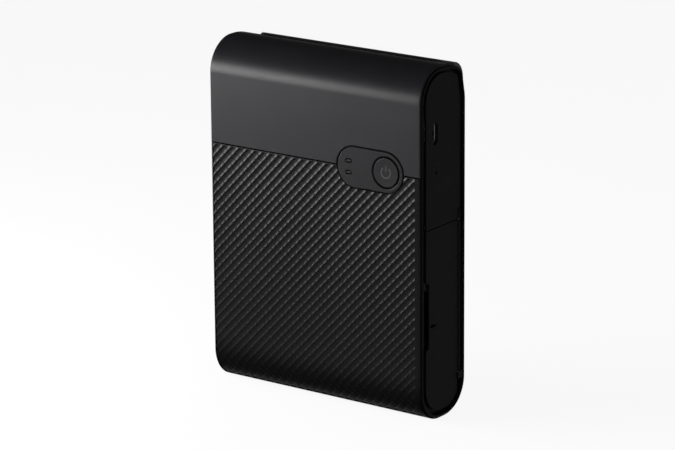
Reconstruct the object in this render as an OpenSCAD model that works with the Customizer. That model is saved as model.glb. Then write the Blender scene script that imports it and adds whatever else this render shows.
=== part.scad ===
// Compact upright photo printer, in millimetres.
// X runs across the front, the front faces -Y and Z is up. The origin is the middle of the base.

/* [Body] */
// Width over the two ends
body_w = 102.2; // [98:0.2:112]
// Depth, front to back
body_d = 31; // [31:0.1:34]
// Height of the crest of the top
body_h = 142.15; // [141:0.05:150]
// Radius of the front and bottom corners, seen from the side
corner_r = 13.5; // [12:0.1:13.8]
// Radius of the shoulder at the back of the top
shoulder_r = 6; // [5.6:0.1:6.4]
// Height from the shoulder's centre to the crest
shoulder_drop = 7.85; // [7.5:0.05:8.2]
// How far the back of the top stands in from the back
back_step = 1.35; // [0.9:0.05:1.6]
// Thickness of the covers
wall = 1.8; // [1.6:0.1:2]
// Thickness of the covers' lips over the end frames
lip_wall = 0.5; // [0.4:0.05:0.7]
// Height of the seam between the smooth and the textured front
seam_z = 100.4; // [99:0.1:102]
// Gap at a seam between two covers
seam_gap = 0.3; // [0.2:0.05:0.4]

/* [Output slot] */
// Opening of the slot, front to back
slot_w = 4.4; // [4.3:0.05:4.8]
// Place of the slot's front edge, behind the middle
slot_y = 3.8; // [3.6:0.1:4]
// Left end of the slot
slot_x0 = -41; // [-42:0.5:-39]
// Right end of the slot
slot_x1 = 43.6; // [42:0.1:45]
// Radius of the hood behind the slot
hood_r = 6.5; // [6.3:0.1:6.6]
// How far the left end of the hood's ramp lies from the slot
hood_lead = 3.4; // [3:0.1:4]

/* [Ends] */
// Width of the end frame's visible ring
ring_w = 2.2; // [2:0.1:2.4]
// Clearance between the covers' lips and the end frames
ring_gap = 0.15; // [0.1:0.05:0.2]
// Clearance between the ring and the side panel
panel_gap = 0.3; // [0.25:0.05:0.4]
// Width of the ledge that the side panels lie on
ledge_w = 1.75; // [1.6:0.05:1.9]
// How far the side panels lie below the ring
panel_sink = 0.6; // [0.5:0.05:0.8]
// Thickness of the side panels
panel_t = 1; // [0.9:0.05:1.2]
// Height of the seam above the cassette door
door_seam_z = 78.3; // [77.5:0.1:79]
// Depth of the finger notch in the door
notch_d = 2; // [1.5:0.1:2.5]
// Lower end of the finger notch
notch_z0 = 29.7; // [28:0.1:31]
// Upper end of the finger notch
notch_z1 = 57.4; // [56:0.1:59]
// Radius of the door's hinge barrel
barrel_r = 0.85; // [0.8:0.05:0.9]
// Radius of the door's hinge pin
door_pin_r = 0.4; // [0.3:0.05:0.45]

/* [Controls] */
// Length of the control island
island_w = 30.8; // [30:0.1:32]
// Height of the control island
island_h = 16.1; // [15.5:0.1:16.5]
// Middle of the control island, across
island_x = 27.05; // [25:0.05:29]
// Gap round the control island
island_gap = 0.25; // [0.2:0.05:0.35]
// Radius of the power button
button_r = 5.75; // [5.4:0.05:5.9]
// Gap round the power button
button_gap = 0.3; // [0.2:0.05:0.35]
// Distance from the island's right end to the button's middle
button_in = 7.95; // [7.8:0.05:8.1]
// Travel of the power button
button_travel = 0.6; // [0.4:0.05:0.65]
// Length of a light window
led_w = 3.3; // [3:0.1:3.6]
// Height of a light window
led_h = 1.7; // [1.5:0.1:1.9]
// Distance between the two light windows
led_pitch = 4.6; // [4.2:0.1:5]
// Distance from the island's left end to the windows' middle
led_in = 5.25; // [5:0.05:5.6]

/* [Right side] */
// Length of the power inlet, up the side
usb_l = 8.1; // [7.9:0.1:8.4]
// Width of the power inlet
usb_w = 3.1; // [2.9:0.05:3.3]
// Height of the power inlet's middle
usb_z = 115.95; // [114:0.05:118]
// Height of the reset hole
reset_z = 100.3; // [99:0.1:102]
// Radius of the reset hole
reset_hole_r = 0.65; // [0.6:0.05:0.75]
// Travel of the reset plunger
reset_travel = 0.3; // [0.2:0.05:0.35]

/* [Paper] */
// Width of a sheet
sheet_w = 72; // [70:0.5:73]
// Length of a sheet
sheet_l = 85; // [83:0.5:85.5]
// Thickness of a sheet
sheet_t = 0.22; // [0.2:0.01:0.23]
// Sheets in the stack
sheets = 10; // [6:1:10]
// Place of the stack's front, behind the middle
stack_y = 9.3; // [9.2:0.05:9.35]
// Height of the stack's lower edge
stack_z = 50; // [49.9:0.1:50.4]
// Lower edge of the opening for paper
bay_z0 = 44.9; // [44.6:0.1:45.2]
// Upper edge of the paper cover
bay_z1 = 133.7; // [132:0.1:134]
// Width of the paper cover
paper_cover_w = 76; // [75.5:0.5:78]
// Thickness of the paper cover
paper_cover_t = 1.5; // [1.3:0.1:1.6]
// Thickness of the pressure plate
plate_t = 0.8; // [0.6:0.1:0.9]
// Travel of the pressure plate
plate_travel = 0.6; // [0.3:0.05:0.7]

/* [Print mechanism] */
// Distance of the paper's plane behind the middle
paper_y = 6.2; // [6.1:0.05:6.3]
// Height of the print line
print_z = 35.5; // [34.5:0.1:36.5]
// Radius of the platen roller
platen_r = 3.5; // [3.3:0.05:3.6]
// Radius of the capstan roller
capstan_r = 2.5; // [2.3:0.05:2.6]
// Radius of the pinch roller
pinch_r = 1.3; // [1.2:0.05:1.35]
// Radius of the pick-up roller
pickup_r = 4.8; // [4.6:0.05:4.85]
// Height of the pick-up roller
pickup_z = 82; // [81.5:0.1:82.5]
// Travel of the print head
head_travel = 2.3; // [2:0.05:2.4]
// Half the length of the print head
head_half = 36.5; // [36:0.1:37]
// Radius of the roller shafts
shaft_r = 1.5; // [1.3:0.05:1.6]
// Running clearance round shafts and pins
run = 0.05; // [0.03:0.01:0.08]
// Clearance between moving neighbours
clear = 0.3; // [0.25:0.05:0.35]
// Clearance of what is pressed together
fit = 0.01; // [0.01:0.005:0.02]

/* [Ink cassette] */
// Height of the supply spool
supply_z = 17.5; // [17.3:0.1:18]
// Height of the take-up spool
takeup_z = 60; // [59.6:0.1:60.2]
// Place of both spools, front to back
spool_y = -2.4; // [-2.6:0.05:-2.3]
// Outer radius of the spool housings
housing_r = 7.9; // [7.7:0.05:8]
// Wall of the spool housings
housing_t = 0.8; // [0.7:0.05:0.9]
// Radius of the full roll of film
supply_r = 6.2; // [5.8:0.05:6.3]
// Radius of the film on the take-up spool
takeup_r = 3.6; // [3.2:0.1:4]
// Radius of the spool cores
core_r = 2.6; // [2.4:0.05:2.7]
// Thickness of the film as drawn
film_t = 0.12; // [0.1:0.01:0.14]

/* [Drive] */
// Gear module
gear_m = 0.6; // [0.59:0.01:0.6]
// Teeth of the motor pinions
pinion_n = 12; // [12:1:12]
// Teeth of the feed idler
feed_idler_n = 24; // [24:1:25]
// Teeth of the pick-up gear
pickup_n = 18; // [18:1:18]
// Teeth of the capstan gear
capstan_n = 17; // [17:1:17]
// Teeth of the ribbon idler
ribbon_idler_n = 16; // [16:1:17]
// Teeth of the ribbon drive gear
ribbon_n = 20; // [20:1:20]
// Thickness of the gears
gear_t = 1.6; // [1.4:0.1:1.7]
// Radius of the feed motor
feed_motor_r = 5.8; // [5.5:0.1:5.9]
// Radius of the ribbon motor
ribbon_motor_r = 4.6; // [4.3:0.1:4.7]

/* [Electronics] */
// Thickness of the main board
board_t = 1; // [0.8:0.1:1.2]
// Battery's width
battery_w = 58; // [54:1:58]
// Battery's height
battery_h = 46; // [42:1:47]
// Battery's thickness
battery_t = 7; // [6.5:0.1:7.1]

/* [Hidden] */
$fn = 64;

// the side profile
half_w = body_w / 2;
half_d = body_d / 2;
top_c_z = body_h - corner_r;
shoulder_y = half_d - back_step - shoulder_r;
shoulder_z = body_h - shoulder_drop;
crown_r = (pow(shoulder_y, 2) + pow(shoulder_drop, 2) - pow(shoulder_r, 2))
    / (2 * (shoulder_drop - shoulder_r));
crown_z = body_h - crown_r;
ramp_z0 = shoulder_z - 7.8;
ramp_z1 = shoulder_z - 5.8;
ramp_z2 = shoulder_z - 0.3;
ramp_lip = 0.2;
hood_y = shoulder_y - 0.55;
hood_z = shoulder_z + 0.9;
slot_back = slot_y + slot_w;
hood_x0 = slot_x0 - hood_lead;
far = 60;

// the end frames and what lies in them
ring_out = lip_wall + ring_gap;
ring_in = ring_out + ring_w;
ledge_in = ring_in + ledge_w;
panel_in = ring_in + panel_gap;
ring_x0 = half_w - 2.95;
ring_x1 = half_w - 0.1;
panel_x1 = ring_x1 - panel_sink;
panel_x0 = panel_x1 - panel_t;
ledge_x1 = panel_x0 - 0.1;
wall_x = ring_x0 - ring_gap;

// the door's hinge
hinge_x = panel_x0 + 0.6;
hinge_y = half_d - panel_in - barrel_r + 0.05;
hinge_z0 = corner_r + 2.5;
hinge_z1 = door_seam_z - seam_gap / 2;
ear_z0 = hinge_z0 - 3.2;
latch_x0 = panel_x0 - 1.2;
latch_y0 = -half_d + ledge_in + run;
boss_l = 4;

// the chassis
plate_x = half_w - 4.5;
plate_l = 1;
left_plate_x = -plate_x + 4.4;
gear_x0 = -plate_x - 0.8;
gear2_x0 = gear_x0 + gear_t + clear;
coupling_r = 2.4;
motor_x0 = left_plate_x + 0.05;
chassis_in = wall + 0.5;

// rollers, spools and the head
platen_y = paper_y + 0.2 + platen_r;
pickup_y = stack_y - 0.2 - pickup_r;
pickup_web = 0.3;
capstan_y = paper_y - 0.1 - capstan_r;
pick_to_capstan = gear_m * (pickup_n + capstan_n) / 2;
capstan_z = pickup_z - sqrt(pow(pick_to_capstan, 2) - pow(pickup_y - capstan_y, 2));
pinch_y = paper_y + 0.15 + pinch_r;
film_y = paper_y - 0.7;
bridge_y0 = film_y - 2.3;
bridge_y1 = film_y + 0.6;
bridge_w = 2.6;
film_clear = 0.4;
head_tip_y = film_y - film_clear - head_travel;
strip_t = 0.8;
heatsink_y1 = head_tip_y - 0.8 - strip_t;
heatsink_y0 = heatsink_y1 - 7.6;
head_half_h = 4.7;
bracket_y = -half_d + wall + 0.4;
bracket_t = 1;

// the ink cassette
cassette_x0 = left_plate_x + 1.2;
cassette_x1 = plate_x - 0.4;
end_t = 1.2;
journal_r = 2;
rod_r = 0.75;
bend = 0.3;
rod_z0 = print_z - 9;
rod_z1 = print_z + 15.5;
grip_x1 = cassette_x1 + 1.6;
bridge_x1 = cassette_x1 - end_t - bridge_w;

// the feed train and the ribbon train
feed_motor_at = [-2.3, pickup_z + 22];
ribbon_motor_at = [-7.2, takeup_z + 18];
pickup_at = [pickup_y, pickup_z];
capstan_at = [capstan_y, capstan_z];
takeup_at = [spool_y, takeup_z];
feed_idler_at = meet(feed_motor_at, gear_m * (pinion_n + feed_idler_n) / 2,
    pickup_at, gear_m * (feed_idler_n + pickup_n) / 2, 1);
ribbon_idler_at = meet(ribbon_motor_at, gear_m * (pinion_n + ribbon_idler_n) / 2,
    takeup_at, gear_m * (ribbon_idler_n + ribbon_n) / 2, -1);

// the paper bay
stack_t = sheets * sheet_t;
press_y0 = stack_y + stack_t + 0.2;
press_y1 = press_y0 + plate_t;
cover_in_y = half_d - paper_cover_t;
cover_pin_r = 0.55;
cover_barrel_r = 1.15;
cover_hinge_y = half_d - cover_barrel_r;
cover_hinge_z = bay_z0 + 0.35 + cover_barrel_r;
bay_half = paper_cover_w / 2 + 0.3;
knuckle_in = 20;
knuckle_out = 36;

// the electronics
board_y1 = -6.7;
board_y0 = board_y1 - board_t;
board_x0 = -24;
board_x1 = plate_x - 2.8;
board_z0 = 87;
board_z1 = 133.5;
board_screw_at = [[board_x0 + 2, board_z0 + 3], [board_x0 + 2, board_z1 - 3], [board_x1 - 3, board_z1 - 3]];
usb_y = board_y1 + 0.08 + usb_w / 2;
usb_x0 = plate_x - 5;
battery_y0 = board_y1 + 0.4;
battery_x0 = -20;
battery_z0 = board_z0 + 0.5;
frame_y0 = battery_y0 + battery_t + 0.3;
frame_t = 1;
button_x = island_x + island_w / 2 - button_in;
led_x = island_x - island_w / 2 + led_in;
island_t = 2;
flange_t = 1;
island_y1 = -half_d + wall + 0.1;
switch_h = 1.5;
stem_y1 = board_y0 - switch_h - 0.5 - button_travel;
reset_y = -4.2;
reset_x1 = panel_x0 - 0.3;
reset_switch_x = board_x1 + 0.2;
screw_y = half_d - ledge_in + ledge_w / 2;
end_screw_at = [[-screw_y, 22], [-screw_y, 112], [screw_y, 92], [screw_y, 122]];

// where a circle round p meets a circle round q; side picks one of the two points
function meet(p, rp, q, rq, side) =
    let (d = norm(q - p), a = (d * d + rp * rp - rq * rq) / (2 * d), h = sqrt(rp * rp - a * a),
        u = (q - p) / d)
    p + a * u + side * h * [-u[1], u[0]];

// the angle of a gear's first tooth that meshes with a gear at p whose first tooth is at angle tp
function mesh_angle(p, n_p, t_p, q, n_q) =
    let (line = atan2(q[1] - p[1], q[0] - p[0]))
    line + 180 - (180 - (line - t_p) * n_p) / n_q;

// a flat shape in the YZ plane, drawn out along X from x0 to x1
module across(x0, x1) {
    translate([x0, 0, 0]) rotate([90, 0, 90]) linear_extrude(height = x1 - x0) children();
}

// a round bar along X
module bar(at, r, x0, x1) {
    translate([x0, at[0], at[1]]) rotate([0, 90, 0]) cylinder(r = r, h = x1 - x0);
}

// a block between two corners
module block(a, b) {
    translate(a) cube(b - a);
}

// the printer's side profile, drawn in by i
module profile(i = 0) {
    for (s = [-1, 1]) translate([s * (half_d - corner_r), corner_r]) circle(r = corner_r - i);
    translate([-half_d + corner_r, i]) square([body_d - 2 * corner_r, corner_r]);
    polygon([[-half_d + i, corner_r], [half_d - i, corner_r], [half_d - i, ramp_z0],
        [half_d - ramp_lip - i, ramp_z1], [half_d - back_step - i, ramp_z2],
        [half_d - back_step - i, shoulder_z], [-half_d + corner_r, top_c_z], [-half_d + i, top_c_z]]);
    translate([-half_d + corner_r, top_c_z]) circle(r = corner_r - i);
    translate([-half_d + corner_r, top_c_z - 1]) square([half_d - corner_r, corner_r - i + 1]);
    translate([0, top_c_z - 1]) square([shoulder_y, shoulder_z - top_c_z + 1]);
    intersection() {
        translate([0, crown_z]) circle(r = crown_r - i);
        polygon([[0, crown_z], [2 * shoulder_y, 2 * shoulder_z - crown_z], [0, body_h + far]]);
    }
    translate([shoulder_y, shoulder_z]) circle(r = shoulder_r - i);
}

// the wall of the casing, rebated over the end frames
module skin() {
    difference() {
        across(-half_w, half_w) profile(0);
        across(-wall_x, wall_x) profile(wall);
        for (s = [0, 1]) mirror([s, 0, 0]) across(wall_x - 0.01, half_w + 1) profile(lip_wall);
    }
}

// the hood behind the slot, with a ramp at its left end
module hood() {
    difference() {
        across(hood_x0, half_w) intersection() {
            translate([hood_y, hood_z]) circle(r = hood_r);
            translate([slot_back, ramp_z2 + 0.5]) square([half_d, far]);
        }
        across(hood_x0 - 1, half_w + 1) profile(lip_wall);
        translate([hood_x0, 0, body_h - 3]) rotate([0, -50, 0]) block([-far, -far, 0], [0, far, far]);
    }
}

// the outline of the control island, drawn in by i
module island_shape(i = 0) {
    r = island_h / 2;
    for (s = [-1, 1]) translate([island_x + s * (island_w / 2 - r), seam_z]) circle(r = r - i);
    translate([island_x - island_w / 2 + r, seam_z - r + i]) square([island_w - 2 * r, 2 * (r - i)]);
}

// a flat shape in the XZ plane, drawn out along Y from y0 to y1
module through(y0, y1) {
    translate([0, y1, 0]) rotate([90, 0, 0]) linear_extrude(height = y1 - y0) children();
}

module upper_cover() color([0.13, 0.13, 0.14]) difference() {
    intersection() {
        skin();
        block([-far, -far, seam_z + seam_gap / 2], [far, slot_y, body_h + far]);
    }
    through(-half_d - 1, -half_d + wall + 1) island_shape(-island_gap);
}

module front_panel() color([0.16, 0.16, 0.17]) difference() {
    intersection() {
        skin();
        block([-far, -far, -1], [far, half_d - corner_r, seam_z - seam_gap / 2]);
    }
    through(-half_d - 1, -half_d + wall + 1) island_shape(-island_gap);
}

module rear_cover() color([0.12, 0.12, 0.13]) difference() {
    union() {
        intersection() {
            skin();
            union() {
                block([-far, half_d - corner_r + seam_gap, -1], [far, far, top_c_z]);
                block([-far, slot_y + seam_gap, top_c_z - 1], [far, far, body_h + far]);
            }
        }
        hood();
        // the knuckles that hold the paper cover's pins
        for (s = [0, 1]) mirror([s, 0, 0]) {
            bar([cover_hinge_y, cover_hinge_z], cover_barrel_r, knuckle_out + clear, bay_half + 1.5);
            block([bay_half, cover_hinge_y - cover_barrel_r, cover_hinge_z - cover_barrel_r],
                [bay_half + 1.5, cover_hinge_y, cover_hinge_z + cover_barrel_r]);
        }
    }
    block([slot_x0, slot_y - 1, shoulder_z + 2], [slot_x1, slot_back, body_h + 5]);
    difference() {
        block([-bay_half, slot_back, bay_z0], [bay_half, half_d + 1, bay_z1 + seam_gap]);
        for (s = [0, 1]) mirror([s, 0, 0])
            bar([cover_hinge_y, cover_hinge_z], cover_barrel_r, knuckle_out + clear, bay_half + 1);
    }
    for (s = [0, 1]) mirror([s, 0, 0])
        bar([cover_hinge_y, cover_hinge_z], cover_pin_r, knuckle_in - 1, bay_half + 0.9);
}

module paper_cover() color([0.13, 0.13, 0.14]) difference() {
    union() {
        intersection() {
            difference() {
                across(-paper_cover_w / 2, paper_cover_w / 2) profile(0);
                across(-far, far) profile(paper_cover_t);
            }
            block([-far, slot_back + 2, cover_hinge_z + cover_barrel_r + 0.1], [far, far, bay_z1]);
        }
        for (s = [0, 1]) mirror([s, 0, 0]) {
            bar([cover_hinge_y, cover_hinge_z], cover_barrel_r, knuckle_in, knuckle_out);
            block([knuckle_in, cover_in_y, cover_hinge_z],
                [knuckle_out, half_d, cover_hinge_z + cover_barrel_r + 0.6]);
        }
        // ribs that guide the pressure plate
        for (x = [-sheet_w / 2 - 0.9, sheet_w / 2 + 0.3])
            block([x, press_y1 + 0.1, stack_z + 6], [x + 0.6, cover_in_y + 0.1, stack_z + 70]);
        // stops that end the plate's travel
        for (x = [-30, 27]) for (z = [stack_z + 10, stack_z + 68])
            block([x, press_y1 + plate_travel + run, z], [x + 3, cover_in_y + 0.1, z + 3]);
    }
    // the finger notch at the top edge
    translate([0, half_d + 1.4, bay_z1 + 0.5]) rotate([90, 0, 0]) cylinder(r = 6, h = 2);
    for (s = [0, 1]) mirror([s, 0, 0])
        bar([cover_hinge_y, cover_hinge_z], cover_pin_r + run, knuckle_in - 1, knuckle_out + 1);
}

module paper_cover_pin() color([0.7, 0.7, 0.72]) for (s = [0, 1]) mirror([s, 0, 0])
    bar([cover_hinge_y, cover_hinge_z], cover_pin_r - 0.01, knuckle_in + 1, bay_half + 0.8);

// one end frame, at the right; the opening in it is closed by what lies on its ledge
module end_frame() {
    difference() {
        across(ring_x0, ring_x1) profile(ring_out);
        across(ledge_x1, ring_x1 + 1) profile(ring_in);
        across(ring_x0 - 1, ledge_x1 + 1) profile(ledge_in);
        for (at = end_screw_at) {
            bar(at, 0.55, ring_x0 - 1, ledge_x1 + 1);
            bar(at, 0.85, ledge_x1 - 0.6, ledge_x1 + 1);
        }
    }
}

module side_frame_left() color([0.14, 0.14, 0.15]) mirror([1, 0, 0]) end_frame();

module side_frame_right() color([0.14, 0.14, 0.15]) difference() {
    union() {
        end_frame();
        // the lower ear of the door's hinge
        block([ledge_x1 - 0.4, hinge_y - 0.9, ear_z0],
            [panel_x1 + 0.4, half_d - ring_in + 0.1, hinge_z0 - clear]);
    }
    // room for the hinge barrel
    block([hinge_x - barrel_r - 0.15, hinge_y - 1.2, hinge_z0 - clear],
        [ledge_x1 + 1, half_d - ring_in, hinge_z1 + boss_l + 0.3]);
    translate([hinge_x, hinge_y, ear_z0 + 0.6]) cylinder(r = door_pin_r + 0.01, h = far);
}

// a bar with round ends on the power inlet's middle line
module inlet_bar(r, x0, x1) {
    straight = (usb_l - usb_w) / 2;
    for (s = [-1, 1]) bar([usb_y, usb_z + s * straight], r, x0, x1);
    block([x0, usb_y - r, usb_z - straight], [x1, usb_y + r, usb_z + straight]);
}

module panel_shape() {
    across(panel_x0, panel_x1) profile(panel_in);
}

module side_panel_left() color([0.1, 0.1, 0.11]) mirror([1, 0, 0]) difference() {
    panel_shape();
    // the seam line that matches the door on the other side
    block([panel_x1 - 0.3, -far, door_seam_z - 0.15], [far, far, door_seam_z + 0.15]);
}

module side_panel_right() color([0.1, 0.1, 0.11]) difference() {
    union() {
        intersection() {
            panel_shape();
            union() {
                block([0, -far, door_seam_z + seam_gap / 2], [far, hinge_y, body_h]);
                block([0, hinge_y - 1, door_seam_z + boss_l + 0.5], [far, far, body_h]);
            }
        }
        translate([hinge_x, hinge_y, door_seam_z + seam_gap / 2]) cylinder(r = barrel_r, h = boss_l);
        bar([reset_y, reset_z], 1.3, panel_x0 - 2.2, panel_x0 + 0.1);
    }
    translate([hinge_x, hinge_y, door_seam_z - 1]) cylinder(r = door_pin_r + 0.01, h = boss_l);
    bar([reset_y, reset_z], reset_hole_r, panel_x0 - 3, panel_x1 + 1);
    inlet_bar(usb_w / 2 + 0.35, panel_x0 - 0.5, panel_x1 + 1);
}

module cassette_door() color([0.1, 0.1, 0.11]) difference() {
    union() {
        intersection() {
            panel_shape();
            block([0, -far, 0], [far, hinge_y, hinge_z1]);
        }
        translate([hinge_x, hinge_y, hinge_z0]) cylinder(r = barrel_r, h = hinge_z1 - hinge_z0);
        // stiffening ribs and the latch on the inner side
        for (z = [24, 62]) block([panel_x0 - 0.9, -8, z], [panel_x0 + 0.1, 6, z + 0.8]);
        block([latch_x0, latch_y0 + 0.5, 60], [panel_x0 + 0.1, latch_y0 + 1.2, 66]);
        block([latch_x0, latch_y0, 62], [latch_x0 + 0.6, latch_y0 + 1.2, 64]);
    }
    // the finger notch
    through_notch();
    // room for the lower ear
    block([0, hinge_y - 1.2, 0], [far, far, hinge_z0 - 0.01]);
    translate([hinge_x, hinge_y, 0]) cylinder(r = door_pin_r + run, h = far * 2);
}

module through_notch() {
    y1 = -half_d + panel_in + notch_d;
    across(panel_x0 - 3, panel_x1 + 1)
        polygon([[-half_d, notch_z0 - 1.2], [y1 - notch_d, notch_z0 - 1.2], [y1, notch_z0 + 0.8],
            [y1, notch_z1 - 0.8], [y1 - notch_d, notch_z1 + 1.2], [-half_d, notch_z1 + 1.2]]);
}

module door_hinge_pin() color([0.7, 0.7, 0.72])
    translate([hinge_x, hinge_y, ear_z0 + 0.7])
        cylinder(r = door_pin_r, h = door_seam_z + boss_l - 1.2 - ear_z0 - 0.7);

module control_island() color([0.22, 0.22, 0.23]) difference() {
    union() {
        through(-half_d, -half_d + island_t) island_shape(0);
        through(island_y1, island_y1 + flange_t) island_shape(-1.2);
    }
    translate([button_x, island_y1 + flange_t + 1, seam_z]) rotate([90, 0, 0])
        cylinder(r = button_r + button_gap, h = far);
    for (s = [-1, 1]) translate([led_x, 0, seam_z + s * led_pitch / 2])
        block([-led_w / 2 - 0.05, -far, -led_h / 2 - 0.05], [led_w / 2 + 0.05, 0, led_h / 2 + 0.05]);
}

module power_button() color([0.22, 0.22, 0.23]) translate([button_x, 0, seam_z]) rotate([-90, 0, 0]) {
    difference() {
        translate([0, 0, -half_d]) cylinder(r = button_r, h = island_y1 + flange_t + 0.2 + half_d);
        // the shallow dish of the button's face
        translate([0, 0, -half_d - 40 + 0.35]) sphere(r = 40);
    }
    translate([0, 0, island_y1 + flange_t + 0.1]) cylinder(r = button_r + 0.9, h = 0.8);
    translate([0, 0, island_y1 + flange_t]) cylinder(r = 1.2, h = stem_y1 - island_y1 - flange_t);
}

module led_windows() color([0.35, 0.36, 0.38]) for (s = [-1, 1])
    translate([led_x, 0, seam_z + s * led_pitch / 2]) {
        block([-led_w / 2, -half_d, -led_h / 2], [led_w / 2, island_y1 + 0.5, led_h / 2]);
        block([-led_w / 2 + 0.4, island_y1, -led_h / 2 + 0.2],
            [led_w / 2 - 0.4, board_y0 - 1.1, led_h / 2 - 0.2]);
    }

module reset_button() color([0.5, 0.5, 0.5]) {
    bar([reset_y, reset_z], reset_hole_r - run, panel_x0 - 2.4, reset_x1);
    bar([reset_y, reset_z], 1.2, reset_switch_x + 2.4, panel_x0 - 2.4);
}

// the outline of the metal side plates
module plate_shape() {
    difference() {
        profile(chassis_in);
        for (s = [-1, 1]) translate([s * 6, board_z0 + 30]) circle(r = 2.2);
    }
}

// holes for the shafts that cross both plates
module shaft_holes() {
    for (at = [pickup_at, capstan_at, [platen_y, print_z]]) translate(at) circle(r = shaft_r + 0.6);
    translate([pinch_y, capstan_z]) circle(r = pinch_r + 0.3);
    for (at = end_screw_at) translate(at) circle(r = 0.45);
}

module chassis_plate_left() color([0.62, 0.63, 0.65]) {
    across(left_plate_x - plate_l, left_plate_x) difference() {
        plate_shape();
        shaft_holes();
        for (at = [feed_motor_at, ribbon_motor_at]) translate(at) circle(r = 1.6);
        translate(takeup_at) circle(r = coupling_r);
    }
    // the studs that the idlers turn on
    bar(feed_idler_at, 1, gear_x0, left_plate_x - plate_l + 0.1);
    bar(ribbon_idler_at, 1, gear2_x0, left_plate_x - plate_l + 0.1);
}

module chassis_plate_right() color([0.62, 0.63, 0.65]) across(plate_x, plate_x + plate_l)
    difference() {
        plate_shape();
        shaft_holes();
        // the way in for the ink cassette
        for (z = [supply_z, takeup_z]) translate([spool_y, z]) circle(r = housing_r + clear);
        polygon([[spool_y - housing_r - clear, supply_z], [bridge_y1 + clear, supply_z],
            [bridge_y1 + clear, takeup_z], [spool_y - housing_r - clear, takeup_z]]);
        translate([reset_y, reset_z]) circle(r = 1.8);
        translate([usb_y - usb_w / 2 - 0.4, usb_z - usb_l / 2 - 0.8]) square([usb_w + 0.8, usb_l + 1.6]);
    }

module inner_frame() color([0.2, 0.2, 0.21]) difference() {
    union() {
        block([left_plate_x, frame_y0, board_z0], [plate_x, frame_y0 + frame_t, board_z1]);
        // the ledge that the battery rests on, and the posts that the board is screwed to
        block([battery_x0, battery_y0, board_z0 - 0.6],
            [battery_x0 + battery_w, frame_y0 + 0.1, board_z0 + 0.2]);
        for (at = board_screw_at) translate([at[0], frame_y0 + 0.1, at[1]]) rotate([90, 0, 0])
            cylinder(r = 1.6, h = frame_y0 - board_y1 + 0.05);
    }
    block([-far, -far, feed_motor_at[1] - feed_motor_r - 0.5],
        [board_x0 - 1, far, feed_motor_at[1] + feed_motor_r + 0.5]);
}

module head_bracket() color([0.62, 0.63, 0.65]) {
    block([left_plate_x, bracket_y, print_z - 5], [plate_x, bracket_y + bracket_t, print_z + 5]);
    // pins that guide the head and hold its springs
    for (x = [-28, 28]) translate([x, bracket_y + 0.1, print_z]) rotate([-90, 0, 0])
        cylinder(r = 1, h = heatsink_y0 - bracket_y + 4.4);
}

module main_board() color([0.08, 0.3, 0.16]) difference() {
    block([board_x0, board_y0, board_z0], [board_x1, board_y1, board_z1]);
    for (at = board_screw_at) translate([at[0], board_y1 + 1, at[1]]) rotate([90, 0, 0])
        cylinder(r = 0.75, h = board_t + 2);
}

module board_chips() color([0.07, 0.07, 0.08]) {
    for (c = [[-12, 118, 12, 12], [8, 120, 9, 9], [-16, 96, 8, 6], [-2, 92, 6, 6], [30, 124, 7, 5]])
        block([c[0], board_y0 - 0.9, c[1] - c[3] / 2], [c[0] + c[2], board_y0, c[1] + c[3] / 2]);
}

module shield_can() color([0.75, 0.76, 0.78])
    block([-6, board_y0 - 1.8, 100], [8, board_y0, 110]);

module usb_connector() color([0.8, 0.81, 0.83]) difference() {
    union() {
        inlet_bar(usb_w / 2, usb_x0, panel_x0 - 0.1);
        block([usb_x0 + 0.5, board_y1, usb_z - usb_l / 2 + 0.5], [board_x1, usb_y, usb_z + usb_l / 2 - 0.5]);
    }
    difference() {
        inlet_bar(usb_w / 2 - 0.3, usb_x0 + 0.8, panel_x0 + 1);
        block([usb_x0, usb_y - 0.35, usb_z - usb_l / 2 + 1.1],
            [panel_x0 - 0.9, usb_y + 0.35, usb_z + usb_l / 2 - 1.1]);
    }
}

module power_switch() color([0.3, 0.3, 0.32]) translate([button_x, board_y0, seam_z]) {
    block([-2.6, -switch_h, -2.6], [2.6, 0, 2.6]);
    rotate([90, 0, 0]) cylinder(r = 1.2, h = switch_h + 0.4);
}

module reset_switch() color([0.3, 0.3, 0.32]) {
    block([board_x1 - 3, board_y1, reset_z - 2], [reset_switch_x + 1, reset_y + 1.2, reset_z + 2]);
    bar([reset_y, reset_z], 0.7, reset_switch_x + 0.9, reset_switch_x + 2.3 - reset_travel);
}

module status_leds() color([0.9, 0.9, 0.8]) for (s = [-1, 1])
    translate([led_x, board_y0, seam_z + s * led_pitch / 2]) block([-0.8, -0.8, -0.5], [0.8, 0, 0.5]);

module battery() color([0.45, 0.47, 0.5])
    translate([battery_x0, battery_y0, battery_z0]) cube([battery_w, battery_t, battery_h]);

module head_heatsink() color([0.66, 0.67, 0.69]) difference() {
    block([-head_half, heatsink_y0, print_z - head_half_h],
        [head_half, heatsink_y1, print_z + head_half_h]);
    for (z = [print_z - 3, print_z + 1.4])
        block([-head_half - 1, heatsink_y0 - 1, z], [head_half + 1, heatsink_y0 + 3, z + 1.6]);
    for (x = [-28, 28]) translate([x, heatsink_y0 - 1, print_z]) rotate([-90, 0, 0])
        cylinder(r = 1 + run, h = 6);
}

module head_strip() color([0.85, 0.84, 0.8]) {
    block([-head_half + 0.5, heatsink_y1, print_z - 3],
        [head_half - 0.5, heatsink_y1 + strip_t, print_z + 3]);
    bar([heatsink_y1 + strip_t, print_z], 0.8, -head_half + 1, head_half - 1);
}

module head_springs() color([0.7, 0.7, 0.72]) for (x = [-28, 28])
    translate([x, bracket_y + bracket_t, print_z]) rotate([-90, 0, 0]) difference() {
        cylinder(r = 1.45, h = heatsink_y0 - bracket_y - bracket_t);
        translate([0, 0, -1]) cylinder(r = 1.1, h = 12);
    }

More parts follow.
